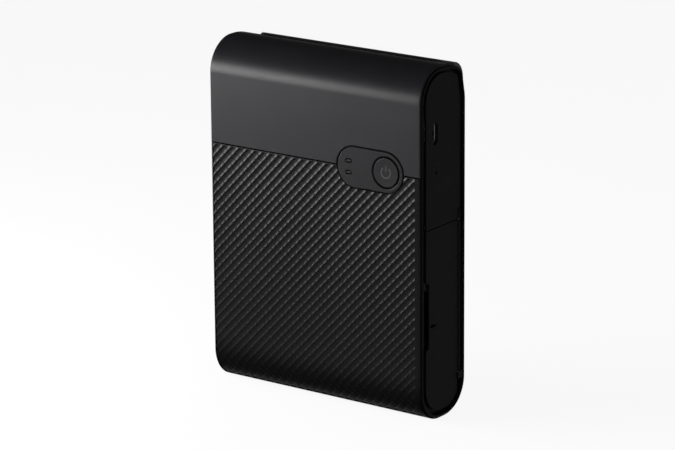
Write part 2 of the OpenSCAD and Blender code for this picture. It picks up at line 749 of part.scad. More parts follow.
module platen_roller() color([0.06, 0.06, 0.06]) difference() {
    bar([platen_y, print_z], platen_r, -sheet_w / 2 - 1, sheet_w / 2 + 1);
    bar([platen_y, print_z], shaft_r, -far, far);
}

// a shaft with a step that the bushes stop
module roller_shaft(at, x0) {
    bar(at, shaft_r, x0, plate_x + plate_l + 0.3);
}

module platen_shaft() color([0.75, 0.76, 0.78])
    roller_shaft([platen_y, print_z], left_plate_x - plate_l - 0.3);

module capstan_roller() color([0.7, 0.71, 0.73]) {
    roller_shaft(capstan_at, gear_x0);
    bar(capstan_at, capstan_r, -sheet_w / 2, sheet_w / 2);
}

module pinch_roller() color([0.1, 0.1, 0.1]) {
    bar([pinch_y, capstan_z], pinch_r, -sheet_w / 2, sheet_w / 2);
    bar([pinch_y, capstan_z], 0.7, -sheet_w / 2 - 3, sheet_w / 2 + 3);
}

module pinch_holder() color([0.25, 0.25, 0.27]) for (s = [0, 1]) mirror([s, 0, 0]) difference() {
    x0 = sheet_w / 2 + 0.5;
    x1 = s == 0 ? plate_x : -left_plate_x;
    union() {
        block([x0, pinch_y - 1.2, capstan_z - 1.4], [x0 + 3, pinch_y + 1.6, capstan_z + 1.4]);
        block([x0 + 0.5, pinch_y + 0.9, capstan_z - 1.2], [x1, pinch_y + 1.6, capstan_z + 1.2]);
    }
    bar([pinch_y, capstan_z], 0.7 + run, 0, x0 + 3.1);
}

module shaft_bushes() color([0.85, 0.83, 0.75])
    for (at = [pickup_at, capstan_at, [platen_y, print_z]])
        for (x = [left_plate_x - plate_l, plate_x]) difference() {
            bar(at, shaft_r + 0.59, x, x + plate_l);
            bar(at, shaft_r + run, x - 1, x + plate_l + 1);
        }

module pickup_roller() color([0.08, 0.08, 0.08]) difference() {
    bar(pickup_at, pickup_r, -9, 9);
    bar(pickup_at, shaft_r, -far, far);
    // the flat that lets the sheet pass
    block([-far, pickup_y + shaft_r + pickup_web, 0], [far, far, far * 3]);
}

module pickup_shaft() color([0.75, 0.76, 0.78]) roller_shaft(pickup_at, gear_x0);

// a spur gear on a bore, between x0 and x0 + gear_t
module gear(at, n, turn, bore, x0) {
    r = gear_m * n / 2;
    root = r - gear_m * 1.15;
    tip = r + gear_m * 0.8;
    base = root - 0.2;
    step = 360 / n;
    // half the angle that a tooth takes at its base, at the pitch circle and at its tip
    base_half = step * 0.27;
    pitch_half = step * 0.215;
    tip_half = step * 0.12;
    across(x0, x0 + gear_t) translate(at) rotate(turn) difference() {
        union() {
            circle(r = root);
            for (k = [0:n - 1]) rotate(k * step) polygon([
                [base * cos(base_half), -base * sin(base_half)],
                [r, -r * sin(pitch_half)], [tip, -tip * sin(tip_half)],
                [tip, tip * sin(tip_half)], [r, r * sin(pitch_half)],
                [base * cos(base_half), base * sin(base_half)]]);
        }
        circle(r = bore);
    }
}

feed_idler_turn = mesh_angle(feed_motor_at, pinion_n, 0, feed_idler_at, feed_idler_n);
pickup_turn = mesh_angle(feed_idler_at, feed_idler_n, feed_idler_turn, pickup_at, pickup_n);
capstan_turn = mesh_angle(pickup_at, pickup_n, pickup_turn, capstan_at, capstan_n);
ribbon_idler_turn = mesh_angle(ribbon_motor_at, pinion_n, 0, ribbon_idler_at, ribbon_idler_n);
ribbon_turn = mesh_angle(ribbon_idler_at, ribbon_idler_n, ribbon_idler_turn, takeup_at, ribbon_n);

module feed_pinion() color([0.85, 0.75, 0.4]) {
    gear(feed_motor_at, pinion_n, 0, 0.5, gear_x0);
    difference() {
        bar(feed_motor_at, 1.4, gear_x0 + gear_t, left_plate_x - plate_l - 0.1);
        bar(feed_motor_at, 0.5, gear_x0, 0);
    }
}

module feed_idler() color([0.9, 0.9, 0.88])
    gear(feed_idler_at, feed_idler_n, feed_idler_turn, 1 + run, gear_x0);

module pickup_gear() color([0.9, 0.9, 0.88])
    gear(pickup_at, pickup_n, pickup_turn, shaft_r + fit, gear_x0);

module capstan_gear() color([0.9, 0.9, 0.88])
    gear(capstan_at, capstan_n, capstan_turn, shaft_r + fit, gear_x0);

// a small motor along X with its shaft pointing left
module motor(at, r, x1, shaft_x0) {
    bar(at, r, motor_x0, x1);
    bar(at, 0.45, shaft_x0, motor_x0 + 0.1);
    bar(at, r * 0.4, x1 - 0.1, x1 + 1);
}

module feed_motor() color([0.7, 0.71, 0.73]) motor(feed_motor_at, feed_motor_r, board_x0 - 3, gear_x0);

module ribbon_motor() color([0.7, 0.71, 0.73]) motor(ribbon_motor_at, ribbon_motor_r, -29, gear2_x0);

module ribbon_pinion() color([0.85, 0.75, 0.4]) gear(ribbon_motor_at, pinion_n, 0, 0.5, gear2_x0);

module ribbon_idler() color([0.9, 0.9, 0.88])
    gear(ribbon_idler_at, ribbon_idler_n, ribbon_idler_turn, 1 + run, gear2_x0);

// the gear that turns the take-up spool, with its coupling
module ribbon_drive_gear() color([0.9, 0.9, 0.88]) {
    gear(takeup_at, ribbon_n, ribbon_turn, 1, gear2_x0);
    bar(takeup_at, coupling_r - run, gear2_x0 + gear_t, left_plate_x + 0.2);
    for (a = [0, 60, 120]) across(left_plate_x + 0.1, cassette_x0 + 3)
        translate(takeup_at) rotate(a) square([3, 0.8], center = true);
}

module pressure_plate() color([0.62, 0.63, 0.65]) difference() {
    block([-sheet_w / 2, press_y0, stack_z + 4], [sheet_w / 2, press_y1, stack_z + 76]);
    for (s = [-1, 1]) translate([s * 18, press_y1 + 1, stack_z + 55]) rotate([90, 0, 0])
        cylinder(r = 5, h = 4);
}

module pressure_springs() color([0.7, 0.7, 0.72]) for (z = [stack_z + 20, stack_z + 40]) for (x = [-18, 18])
    translate([x, press_y1, z]) rotate([-90, 0, 0]) difference() {
        cylinder(r = 3, h = cover_in_y - press_y1);
        translate([0, 0, -1]) cylinder(r = 2.5, h = 5);
    }

module paper_stack() color([0.95, 0.95, 0.94])
    block([-sheet_w / 2, stack_y, stack_z], [sheet_w / 2, stack_y + stack_t, stack_z + sheet_l]);

// the curved guide at the bottom that turns the sheet's end forward
module paper_guide() color([0.2, 0.2, 0.21]) {
    g_r = corner_r - wall - 1;
    across(left_plate_x, plate_x) difference() {
        translate([half_d - corner_r, corner_r]) circle(r = g_r);
        translate([half_d - corner_r, corner_r]) circle(r = g_r - 0.8);
        translate([-far, corner_r + 4]) square([2 * far, far]);
        translate([-far - 1, -far]) square([far, 2 * far]);
    }
    // the shelf that the stack stands on
    block([left_plate_x, stack_y - 0.1, stack_z - 1.1],
        [plate_x, cover_hinge_y - cover_barrel_r - 1, stack_z - 0.05]);
}

module cassette_frame() color([0.3, 0.31, 0.33]) difference() {
    union() {
        for (z = [supply_z, takeup_z]) difference() {
            bar([spool_y, z], housing_r, cassette_x0, cassette_x1);
            bar([spool_y, z], housing_r - housing_t, cassette_x0 + end_t, cassette_x1 - end_t);
        }
        // the bridges that join the two housings at the ends, cut back where the pressed head
        // passes them, and the rods that the film runs over
        for (x = [cassette_x0, bridge_x1]) difference() {
            block([x, bridge_y0, supply_z + 4], [x + bridge_w, bridge_y1, takeup_z - 3]);
            block([x - 1, bridge_y0 - 1, print_z - head_half_h - clear],
                [x + bridge_w + 1, film_y - film_clear + clear, print_z + head_half_h + clear]);
        }
        for (z = [rod_z0, rod_z1]) bar([film_y - run - rod_r, z], rod_r, cassette_x0, cassette_x1);
        // the pull tab
        block([cassette_x1 - 0.1, spool_y - 3, takeup_z - 4.5], [grip_x1, spool_y + 3, takeup_z - 3.5]);
    }
    // the mouths that the film leaves and enters by
    block([cassette_x0 + bridge_w, film_y - 3, supply_z + 0.8],
        [bridge_x1, far, supply_z + 6.5]);
    block([cassette_x0 + bridge_w, film_y - 4, takeup_z - 7],
        [bridge_x1, far, takeup_z - 1.5]);
    for (z = [supply_z, takeup_z]) bar([spool_y, z], journal_r, cassette_x0 - 1, cassette_x1 + 1);
}

// a spool core with its two journals
module core(z) {
    bar([spool_y, z], core_r, cassette_x0 + end_t + 0.1, cassette_x1 - end_t - 0.1);
    bar([spool_y, z], journal_r - run, cassette_x0 + 0.1, cassette_x1 - 0.1);
}

module supply_core() color([0.85, 0.85, 0.83]) core(supply_z);

module takeup_core() color([0.85, 0.85, 0.83]) difference() {
    core(takeup_z);
    bar(takeup_at, 1.6, cassette_x0 - 1, cassette_x0 + 4);
}

// film wound on a core
module roll(z, r) {
    difference() {
        bar([spool_y, z], r, -sheet_w / 2 - 0.5, sheet_w / 2 + 0.5);
        bar([spool_y, z], core_r, -far, far);
    }
}

module supply_ribbon() color([0.15, 0.13, 0.3]) roll(supply_z, supply_r);

module takeup_ribbon() color([0.15, 0.13, 0.3]) roll(takeup_z, takeup_r);

module ribbon_film() color([0.2, 0.15, 0.35]) across(-sheet_w / 2 - 0.5, sheet_w / 2 + 0.5)
    polygon([[spool_y + supply_r + run, supply_z], [film_y, rod_z0 - bend], [film_y, rod_z1 + bend],
        [spool_y + takeup_r + run, takeup_z], [spool_y + takeup_r + run + film_t, takeup_z],
        [film_y + film_t, rod_z1 + bend], [film_y + film_t, rod_z0 - bend],
        [spool_y + supply_r + run + film_t, supply_z]]);

module end_screws() color([0.6, 0.6, 0.62]) for (at = end_screw_at) {
    bar(at, 0.43, plate_x + 0.1, ledge_x1 - 0.5);
    bar(at, 0.8, ledge_x1 - 0.58, ledge_x1 - 0.02);
    bar(at, 0.43, -ledge_x1 + 0.5, left_plate_x - 0.1);
    bar(at, 0.8, -ledge_x1 + 0.02, -ledge_x1 + 0.58);
}

module board_screws() color([0.6, 0.6, 0.62])
    for (at = board_screw_at) translate([at[0], board_y0 - 0.8, at[1]]) rotate([-90, 0, 0]) {
        cylinder(r = 1.4, h = 0.8);
        cylinder(r = 0.7, h = 0.8 + board_t);
    }

upper_cover();
front_panel();
rear_cover();
paper_cover();
paper_cover_pin();
side_frame_left();
side_frame_right();
side_panel_left();
side_panel_right();
cassette_door();
door_hinge_pin();
control_island();
power_button();
led_windows();
reset_button();
chassis_plate_left();
chassis_plate_right();
inner_frame();
head_bracket();
main_board();
board_chips();
shield_can();
usb_connector();
power_switch();
reset_switch();
status_leds();
battery();
head_heatsink();
head_strip();
head_springs();
platen_roller();
platen_shaft();
capstan_roller();
pinch_roller();
pinch_holder();
shaft_bushes();
pickup_roller();
pickup_shaft();
feed_motor();
feed_pinion();
feed_idler();
pickup_gear();
capstan_gear();
ribbon_motor();
ribbon_pinion();
ribbon_idler();
ribbon_drive_gear();
pressure_plate();
pressure_springs();
paper_stack();
paper_guide();
cassette_frame();
supply_core();
supply_ribbon();
takeup_core();
takeup_ribbon();
ribbon_film();
end_screws();
board_screws();
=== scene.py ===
"""Compact photo printer: the visible pieces, finishes and studio, built round the CAD frame."""

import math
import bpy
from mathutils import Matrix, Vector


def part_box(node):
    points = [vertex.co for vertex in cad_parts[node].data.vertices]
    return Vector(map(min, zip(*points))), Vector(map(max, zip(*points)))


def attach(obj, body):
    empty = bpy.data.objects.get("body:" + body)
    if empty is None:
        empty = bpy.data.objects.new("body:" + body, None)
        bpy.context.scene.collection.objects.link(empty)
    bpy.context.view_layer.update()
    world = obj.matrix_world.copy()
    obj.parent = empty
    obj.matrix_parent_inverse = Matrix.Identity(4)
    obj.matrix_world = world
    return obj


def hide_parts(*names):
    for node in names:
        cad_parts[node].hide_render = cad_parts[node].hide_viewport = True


bl_info = {
    "name": "Compact photo printer",
    "version": (1, 0, 0),
    "blender": (4, 5, 0),
    "location": "View3D > Sidebar > Printer",
    "description": "Models the casing, controls, finishes and studio of a compact photo printer",
    "category": "Object",
}

from contextlib import contextmanager
from types import SimpleNamespace

import bmesh
import bpy
import numpy as np
from bpy.props import FloatProperty, FloatVectorProperty, PointerProperty
from mathutils import Matrix, Vector

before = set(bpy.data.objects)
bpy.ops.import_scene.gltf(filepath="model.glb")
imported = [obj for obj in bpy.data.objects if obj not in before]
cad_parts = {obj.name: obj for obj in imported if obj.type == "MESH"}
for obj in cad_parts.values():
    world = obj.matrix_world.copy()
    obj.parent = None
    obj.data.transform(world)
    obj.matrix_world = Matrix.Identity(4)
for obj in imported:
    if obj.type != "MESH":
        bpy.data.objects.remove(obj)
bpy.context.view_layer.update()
METRE = 0.001  # pieces are modelled in millimetres and finished in metres
CLOSE = 0.01  # vertices nearer than this to a line or to each other count as on it or as one


def length(name, description, default, low=0.0, high=1.0):
    return FloatProperty(name=name, description=description, default=default, min=low, max=high,
                         unit="LENGTH", precision=5)


def colour(name, description, default):
    return FloatVectorProperty(name=name, description=description, default=default, size=3,
                               subtype="COLOR", min=0.0, max=1.0)


def reach(node, axis, side):
    """One face of a CAD node's box, in metres."""
    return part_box(node)[side][axis]


class CasingSizes(bpy.types.PropertyGroup):
    """Sizes of the covers and the side profile"""
    width: length("Width", "Over the covers, which end short of the end frames",
                  reach("front_panel", 0, 1) * 2 - 0.0013)
    depth: length("Depth", "Front to back", reach("rear_cover", 1, 1) * 2)
    height: length("Height", "Up to the crest of the top", reach("upper_cover", 2, 1))
    corner: length("Corner radius", "Front and bottom corners, seen from the side", 0.0135)
    shoulder: length("Shoulder radius", "Back of the top", 0.006)
    shoulder_drop: length("Shoulder drop", "Crest above the shoulder's middle", 0.00785)
    back_step: length("Back step", "How far the back of the top stands in", 0.00135)
    wall: length("Wall", "Thickness of the covers", 0.0018)
    lip: length("Lip", "Thickness of the lips over the end frames", 0.0005)
    lip_reach: length("Lip reach", "From the middle to where the lips start", 0.048)
    seam: length("Seam height", "Between the smooth and the beaded front", 0.1004)
    gap: length("Seam gap", "Between two covers", 0.0003)
    edge: length("Edge rounding", "Ends of the covers", 0.00042)
    rim: length("Rim rounding", "Seams and openings of the covers", 0.00022)
    slot_front: length("Slot front", "Front edge of the output slot, behind the middle", 0.0038)
    slot_width: length("Slot width", "Output slot, front to back", 0.0044)
    slot_left: length("Slot left", "Left end of the slot", -0.041, -1.0)
    slot_right: length("Slot right", "Right end of the slot", 0.0436)
    hood: length("Hood radius", "Raised hood behind the slot", 0.0065)
    hood_lead: length("Hood lead", "From the slot to the low end of the hood's ramp", 0.0034)
    paper_width: length("Paper cover width", "Across the back", 0.076)
    paper_sheet: length("Paper cover thickness", "Sheet of the paper cover", 0.0015)
    bay_low: length("Bay lower edge", "Opening for paper", 0.0449)
    bay_high: length("Bay upper edge", "Top of the paper cover", 0.1337)
    barrel: length("Paper hinge barrel", "Radius of the hinge barrels", 0.00115)


class BeadSizes(bpy.types.PropertyGroup):
    """Sizes of the slanting beads on the front"""
    across: length("Pitch across", "Width of the pattern's cell", 0.00388)
    up: length("Pitch up", "Height of the pattern's cell", 0.00398)
    relief: length("Relief", "From the valleys to the crests", 0.00038)
    shift_across: length("Shift across", "Moves the pattern to the right", 0.0, -1.0)
    shift_up: length("Shift up", "Moves the pattern up", 0.0, -1.0)
    left: length("Left border", "Plain strip at the left", 0.0005)
    right: length("Right border", "Plain strip at the right", 0.0024)
    top: length("Top border", "Plain strip under the seam", 0.0004)
    wrap: FloatProperty(name="Wrap", description="How far the beads run round the bottom corner",
                        default=math.radians(58), subtype="ANGLE")


class EndSizes(bpy.types.PropertyGroup):
    """Sizes of the end frames, side panels and door"""
    ring_inset: length("Ring inset", "End frame in from the side profile", 0.00065)
    ring_width: length("Ring width", "Visible width of the ring", 0.0011)
    ring_inner: length("Ring inner end", "End frame's inner face", 0.04815)
    ring_outer: length("Ring outer end", "End frame's outer face", reach("side_frame_right", 0, 1))
    ledge: length("Ledge", "Width of the ledge that the panels lie on", 0.00285)
    panel_inset: length("Panel inset", "Side panels in from the side profile", 0.00315)
    panel_back: length("Panel set back", "Front edge of the side panels, behind their profile",
                       0.0013)
    panel_outer: length("Panel face", "Outer face of the side panels", 0.0504)
    panel_sheet: length("Panel thickness", "Side panels", 0.001)
    door_seam: length("Door seam", "Height of the seam above the cassette door", 0.0783)
    notch_low: length("Notch low", "Lower end of the finger notch", 0.0297)
    notch_high: length("Notch high", "Upper end of the finger notch", 0.0574)
    notch_depth: length("Notch depth", "Finger notch", 0.002)
    barrel: length("Door hinge barrel", "Radius of the barrel", 0.00085)
    hinge_y: length("Door hinge", "Hinge line behind the middle", 0.01155)
    inlet_y: length("Inlet place", "Middle of the power inlet, front to back", -0.00507, -1.0)
    inlet_z: length("Inlet height", "Middle of the power inlet", 0.11595)
    inlet_long: length("Inlet length", "Power inlet, up the side", 0.0081)
    inlet_wide: length("Inlet width", "Power inlet, across", 0.0031)
    arrow_y: length("Arrow place", "Arrow on the door, front to back", -0.0072, -1.0)
    arrow_z: length("Arrow height", "Arrow on the door", 0.039)
    reset_y: length("Reset place", "Reset hole, front to back", -0.0042, -1.0)
    reset_z: length("Reset height", "Reset hole", 0.1003)
    reset: length("Reset radius", "Reset hole", 0.00065)


class ControlSizes(bpy.types.PropertyGroup):
    """Sizes of the control island"""
    island_x: length("Island place", "Middle of the island, across", 0.02705)
    island_wide: length("Island width", "Over its round ends", 0.0308)
    island_high: length("Island height", "Control island", 0.0161)
    island_sheet: length("Island thickness", "Control island", 0.002)
    island_gap: length("Island gap", "Round the island", 0.00058)
    button_x: length("Button place", "Middle of the button, across", 0.0345)
    button: length("Button radius", "Power button", 0.00575)
    button_gap: length("Button gap", "Round the button", 0.0007)
    dish: length("Dish", "Depth of the dish in the button's face", 0.00012)
    light_x: length("Lights place", "Middle of the light windows, across", 0.0169)
    light_wide: length("Light width", "Light window", 0.0027)
    light_high: length("Light height", "Light window", 0.0013)
    light_pitch: length("Light pitch", "Between the two windows", 0.0046)


class Finishes(bpy.types.PropertyGroup):
    """Colours of the printer"""
    cover: colour("Smooth cover", "Fine matt plastic of the covers", (0.008, 0.008, 0.0095))
    beads: colour("Beaded panel", "Moulded plastic of the front", (0.002, 0.002, 0.0022))
    side: colour("Sides", "Side panels and door", (0.0030, 0.0030, 0.0032))
    ring: colour("End frames", "Rings round the sides", (0.0020, 0.0020, 0.0021))
    island: colour("Island", "Control island and button", (0.009, 0.009, 0.010))
    mark: colour("Mark", "Arrow on the door", (0.0008, 0.0008, 0.0008))
    symbol: colour("Symbol", "Power symbol", (0.013, 0.013, 0.014))
    window: colour("Light windows", "Dark clear plastic", (0.012, 0.012, 0.013))


class StudioSettings(bpy.types.PropertyGroup):
    """Lights, camera and floor"""
    key: FloatProperty(name="Soft box", description="Left of the front, low", default=3.3,
                       min=0.0, unit="POWER")
    fill: FloatProperty(name="Fill light", description="Right of the front", default=2.0,
                        min=0.0, unit="POWER")
    ambient: FloatProperty(name="Ambient", description="Even light from all round", default=0.40,
                           min=0.0)
    floor_glow: FloatProperty(name="Floor glow", description="Share of plain white in the floor",
                              default=0.9, min=0.0, max=1.0)
    ceiling: FloatProperty(name="Ceiling", description="What gloss shows of the studio above",
                           default=0.03, min=0.0)
    lens: FloatProperty(name="Lens", description="Focal length in millimetres", default=180.39)
    azimuth: FloatProperty(name="Azimuth", description="Camera, round to the right",
                           default=math.radians(35.96), subtype="ANGLE")
    elevation: FloatProperty(name="Elevation", description="Camera, above the horizon",
                             default=math.radians(16.045), subtype="ANGLE")
    roll: FloatProperty(name="Roll", description="Camera", default=math.radians(-0.445),
                        subtype="ANGLE")
    distance: length("Distance", "Camera from its target", 1.3412, 0.0, 10.0)


GROUPS = {"casing": CasingSizes, "beads": BeadSizes, "ends": EndSizes, "controls": ControlSizes,
          "finishes": Finishes, "studio": StudioSettings}


def sizes(context, name):
    """A group's lengths as plain numbers in millimetres, and its other values as they are."""
    group = getattr(context.scene, "printer_" + name)
    values = {}
    for key, prop in type(group).bl_rna.properties.items():
        if key in ("rna_type", "name"):
            continue
        value = getattr(group, key)
        values[key] = value / METRE if getattr(prop, "unit", "") == "LENGTH" else value
    return SimpleNamespace(**values)


# ---------------------------------------------------------------- modelling by hand


def alone(obj):
    """Makes obj the only selected object, and the active one."""
    bpy.ops.object.select_all(action="DESELECT")
    obj.select_set(True)
    bpy.context.view_layer.objects.active = obj
    return obj


def apply_placing():
    bpy.ops.object.transform_apply(location=True, rotation=True, scale=True)


def select_every():
    bpy.ops.mesh.select_all(action="SELECT")


def select_none():
    bpy.ops.mesh.select_all(action="DESELECT")


def pull(x, y, z):
    """Extrudes what is selected by this much."""
    bpy.ops.mesh.extrude_region_move(TRANSFORM_OT_translate={"value": (x, y, z)})


@contextmanager
def editing(obj):
    """Edit mode on obj, with nothing selected at first."""
    alone(obj)
    bpy.ops.object.mode_set(mode="EDIT")
    select_none()
    try:
        yield
    finally:
        bpy.ops.object.mode_set(mode="OBJECT")


def pick(obj, kind, test):
    """In edit mode, adds to the selection the vertices, edges or faces that test is true of."""
    bpy.ops.mesh.select_mode(type=kind)
    mesh = bmesh.from_edit_mesh(obj.data)
    parts = {"VERT": mesh.verts, "EDGE": mesh.edges, "FACE": mesh.faces}[kind]
    found = [part for part in parts if test(part)]
    for part in found:
        part.select_set(True)
    mesh.select_flush_mode()
    bmesh.update_edit_mesh(obj.data)
    if not found:
        raise RuntimeError(f"nothing to select on {obj.name}")


def move_where(obj, test, by):
    """Moves the vertices that test is true of."""
    with editing(obj):
        pick(obj, "VERT", test)
        bpy.ops.transform.translate(value=by)


def modify(obj, kind, **values):
    """Adds a modifier, sets its values and applies it."""
    alone(obj)
    modifier = obj.modifiers.new(kind, kind)
    for key, value in values.items():
        setattr(modifier, key, value)
    bpy.ops.object.modifier_apply(modifier=modifier.name)
    return obj


def name_it(name):
    """Names the object that was made last, and its mesh."""
    obj = bpy.context.object
    obj.name = obj.data.name = name
    return obj


def block(name, low, high):
    """A box between two corners, as a start."""
    low, high = Vector(low), Vector(high)
    bpy.ops.object.select_all(action="DESELECT")
    bpy.ops.mesh.primitive_cube_add(size=1, location=(low + high) / 2)
    obj = name_it(name)
    obj.scale = high - low
    apply_placing()
    return obj


def rod(name, radius, start, end, sides=64):
    """A round bar from start to end, as a start."""
    start, end = Vector(start), Vector(end)
    bpy.ops.object.select_all(action="DESELECT")
    bpy.ops.mesh.primitive_cylinder_add(
        vertices=sides, radius=radius, depth=(end - start).length, location=(start + end) / 2,
        rotation=(end - start).to_track_quat("Z", "Y").to_euler())
    obj = name_it(name)
    apply_placing()
    return obj


def stretched_rod(name, radius, start, end, along, straight, sides=64):
    """A bar with round ends across: a rod whose two halves are moved apart along one axis."""
    obj = rod(name, radius, start, end, sides)
    middle = start[along]
    for side in (-1, 1):
        shift = [0, 0, 0]
        shift[along] = side * straight
        move_where(obj, lambda v: side * (v.co[along] - middle) > radius * 0.01, shift)
    return obj


def cut(obj, *others, operation="DIFFERENCE", solver="EXACT"):
    """Cuts the others from obj, or joins them to it, and removes them."""
    for other in others:
        modify(obj, "BOOLEAN", operation=operation, solver=solver, object=other)
        mesh = other.data
        bpy.data.objects.remove(other)
        bpy.data.meshes.remove(mesh)
    if not obj.data.polygons:
        raise RuntimeError(f"{obj.name} vanished")
    return obj


def join(obj, *others, solver="EXACT"):
    return cut(obj, *others, operation="UNION", solver=solver)


def slice_off(obj, at, direction, fill=True):
    """Cuts away what lies beyond the plane."""
    with editing(obj):
        select_every()
        bpy.ops.mesh.bisect(plane_co=at, plane_no=direction, use_fill=fill, clear_outer=True)


def weigh(obj, test, share):
    """Gives the edges that test is true of that share of the bevel's width."""
    with editing(obj):
        pick(obj, "EDGE", test)
        bpy.ops.transform.edge_bevelweight(value=share)


def bevel(obj, width, segments=3, limit="WEIGHT", angle=35):
    return modify(obj, "BEVEL", width=width, segments=segments, limit_method=limit,
                  angle_limit=math.radians(angle), use_clamp_overlap=False)


def tidy(obj, merge=0.0005):
    """Merges doubles and turns the faces outwards."""
    with editing(obj):
        select_every()
        bpy.ops.mesh.remove_doubles(threshold=merge)
        bpy.ops.mesh.normals_make_consistent(inside=False)
    return obj


def mirrored_copy(obj, name):
    """A copy with its own mesh, mirrored to the other end of the printer."""
    alone(obj)
    bpy.ops.object.duplicate(linked=False)
    other = name_it(name)
    other.scale = (-1, 1, 1)
    apply_placing()
    return tidy(other, 0.00001)


def complete(obj, body, material, nodes=(), angle=35, weighted=True):
    """Shades the piece, brings it to metres, and hands it to its CAD body."""
    alone(obj)
    bpy.ops.object.shade_smooth_by_angle(angle=math.radians(angle))
    if weighted:
        modify(obj, "WEIGHTED_NORMAL", keep_sharp=True)
    obj.scale = (METRE,) * 3
    apply_placing()
    obj.data.materials.clear()
    obj.data.materials.append(material)
    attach(obj, body)
    if nodes:
        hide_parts(*nodes)
    return obj


# ---------------------------------------------------------------- the side profile


def half(casing):
    """Half the width and depth, the corners' upper middle, and the crown and shoulder arcs."""
    w, d = casing.width / 2, casing.depth / 2
    y = d - casing.back_step - casing.shoulder
    drop, r = casing.shoulder_drop, casing.shoulder
    crown = (y * y + drop * drop - r * r) / (2 * (drop - r))
    z = casing.height - drop
    turn = math.degrees(math.atan2(y, z - casing.height + crown))
    return SimpleNamespace(w=w, d=d, flat=d - casing.corner, top=casing.height - casing.corner,
                           shoulder_y=y, shoulder_z=z, crown=crown,
                           crown_z=casing.height - crown, crown_turn=turn)


STEP_DEGREES = 4.0
RAMP_START = 0.3  # straight down from the shoulder to where the back starts to slant out
RAMP = ((1.15, 5.5), (0.2, 2.0))  # the two slants of the back, as out and down
RAMP_SPAN = 7.8  # the start and both slants, down
SOFT_KINK, TIGHT_KINK = 6.0, 2.0  # radii where the slants meet


def travel(at, heading, moves):
    """Extrudes and spins what is selected: each move is a length, or a (radius, degrees) turn."""
    y, z = at
    for move in moves:
        a = math.radians(heading)
        if not isinstance(move, tuple):
            step = (0, math.cos(a) * move, math.sin(a) * move)
            pull(*step)
            y, z = y + step[1], z + step[2]
            continue
        radius, degrees = move
        # the middle of the turn lies on the inner side, to the right of the way we go
        cy, cz = y + radius * math.sin(a), z - radius * math.cos(a)
        sense = 1 if radius > 0 else -1
        bpy.ops.mesh.spin(steps=max(1, round(degrees / STEP_DEGREES)), angle=math.radians(degrees),
                          center=(0, cy, cz), axis=(sense, 0, 0))
        heading -= sense * degrees
        b = math.radians(heading)
        y, z = cy - radius * math.sin(b), cz + radius * math.cos(b)


def back_moves(casing, h):
    """From the shoulder's end to the bottom corner: a tight kink out, then two soft kinks in."""
    first, second = (math.degrees(math.atan2(*slant)) for slant in RAMP)
    soft, tight = SOFT_KINK, TIGHT_KINK
    t1 = tight * math.tan(math.radians(first) / 2)
    t2 = soft * math.tan(math.radians(first - second) / 2)
    t3 = soft * math.tan(math.radians(second) / 2)
    return [RAMP_START - t1, (-tight, first), math.hypot(*RAMP[0]) - t1 - t2,
            (soft, first - second), math.hypot(*RAMP[1]) - t2 - t3, (soft, second),
            h.shoulder_z - RAMP_SPAN - casing.corner - t3]


def whole_moves(casing, h):
    """Once round the side profile, from the back of the foot."""
    return [2 * h.flat, (casing.corner, 90), casing.height - 2 * casing.corner,
            (casing.corner, 90), h.flat, (h.crown, h.crown_turn),
            (casing.shoulder, 90 - h.crown_turn),
            *back_moves(casing, h), (casing.corner, 90)]


def section(name, at, heading, x0, x1, inset0, inset1):
    """A flat strip across the start of the way, between two insets from the side profile."""
    inward = math.radians(heading - 90)
    middle = (inset0 + inset1) / 2
    bpy.ops.object.select_all(action="DESELECT")
    bpy.ops.mesh.primitive_plane_add(
        size=1, rotation=(inward, 0, 0), location=((x0 + x1) / 2, at[0] + math.cos(inward) * middle,
                                                   at[1] + math.sin(inward) * middle))
    obj = name_it(name)
    obj.scale = (x1 - x0, inset1 - inset0, 1)
    apply_placing()
    return obj


def swept(name, at, heading, moves, x0, x1, inset0, inset1):
    """A wall that follows the side profile along the moves."""
    obj = section(name, at, heading, x0, x1, inset0, inset1)
    with editing(obj):
        bpy.ops.mesh.select_mode(type="FACE")
        select_every()
        travel(at, heading, moves)
    return tidy(obj)


def profile_block(name, casing, x0, x1, inset):
    """A solid with the whole side profile, drawn in by inset: an edge carried round, and filled."""
    h = half(casing)
    obj = section(name, (h.flat, 0), 180, x0, x1, inset, inset + 1)
    with editing(obj):
        pick(obj, "VERT", lambda v: v.co.z > inset + 0.5)
        bpy.ops.mesh.delete(type="VERT")
        bpy.ops.mesh.select_mode(type="EDGE")
        select_every()
        travel((h.flat, 0), 180, whole_moves(casing, h))
    tidy(obj, 0.02)
    with editing(obj):
        for x in (x0, x1):
            select_none()
            pick(obj, "EDGE", lambda e: all(abs(v.co.x - x) < 0.01 for v in e.verts))
            bpy.ops.mesh.edge_face_add()
    return tidy(obj)


def outward(casing, point):
    """The way out of the casing at a point of its wall, seen from the side."""
    flat, r = casing.depth / 2 - casing.corner, casing.corner
    y = min(max(point.y, -flat), flat)
    z = min(max(point.z, r), casing.height - r)
    way = Vector((0, point.y - y, point.z - z))
    return way.normalized() if way.length > 1e-6 else Vector((0, 0, 1))


def facing(casing, face):
    """Which side of the casing's wall a face is: end, outer, inner or rim."""
    if abs(face.normal.x) > 0.9:
        return "end"
    lean = face.normal.dot(outward(casing, face.calc_center_median()))
    return "outer" if lean > 0.6 else "inner" if lean < -0.6 else "rim"


def between(casing, edge, one, other):
    """Whether an edge is where faces of these two sides meet."""
    return sorted(facing(casing, f) for f in edge.link_faces) == sorted((one, other))


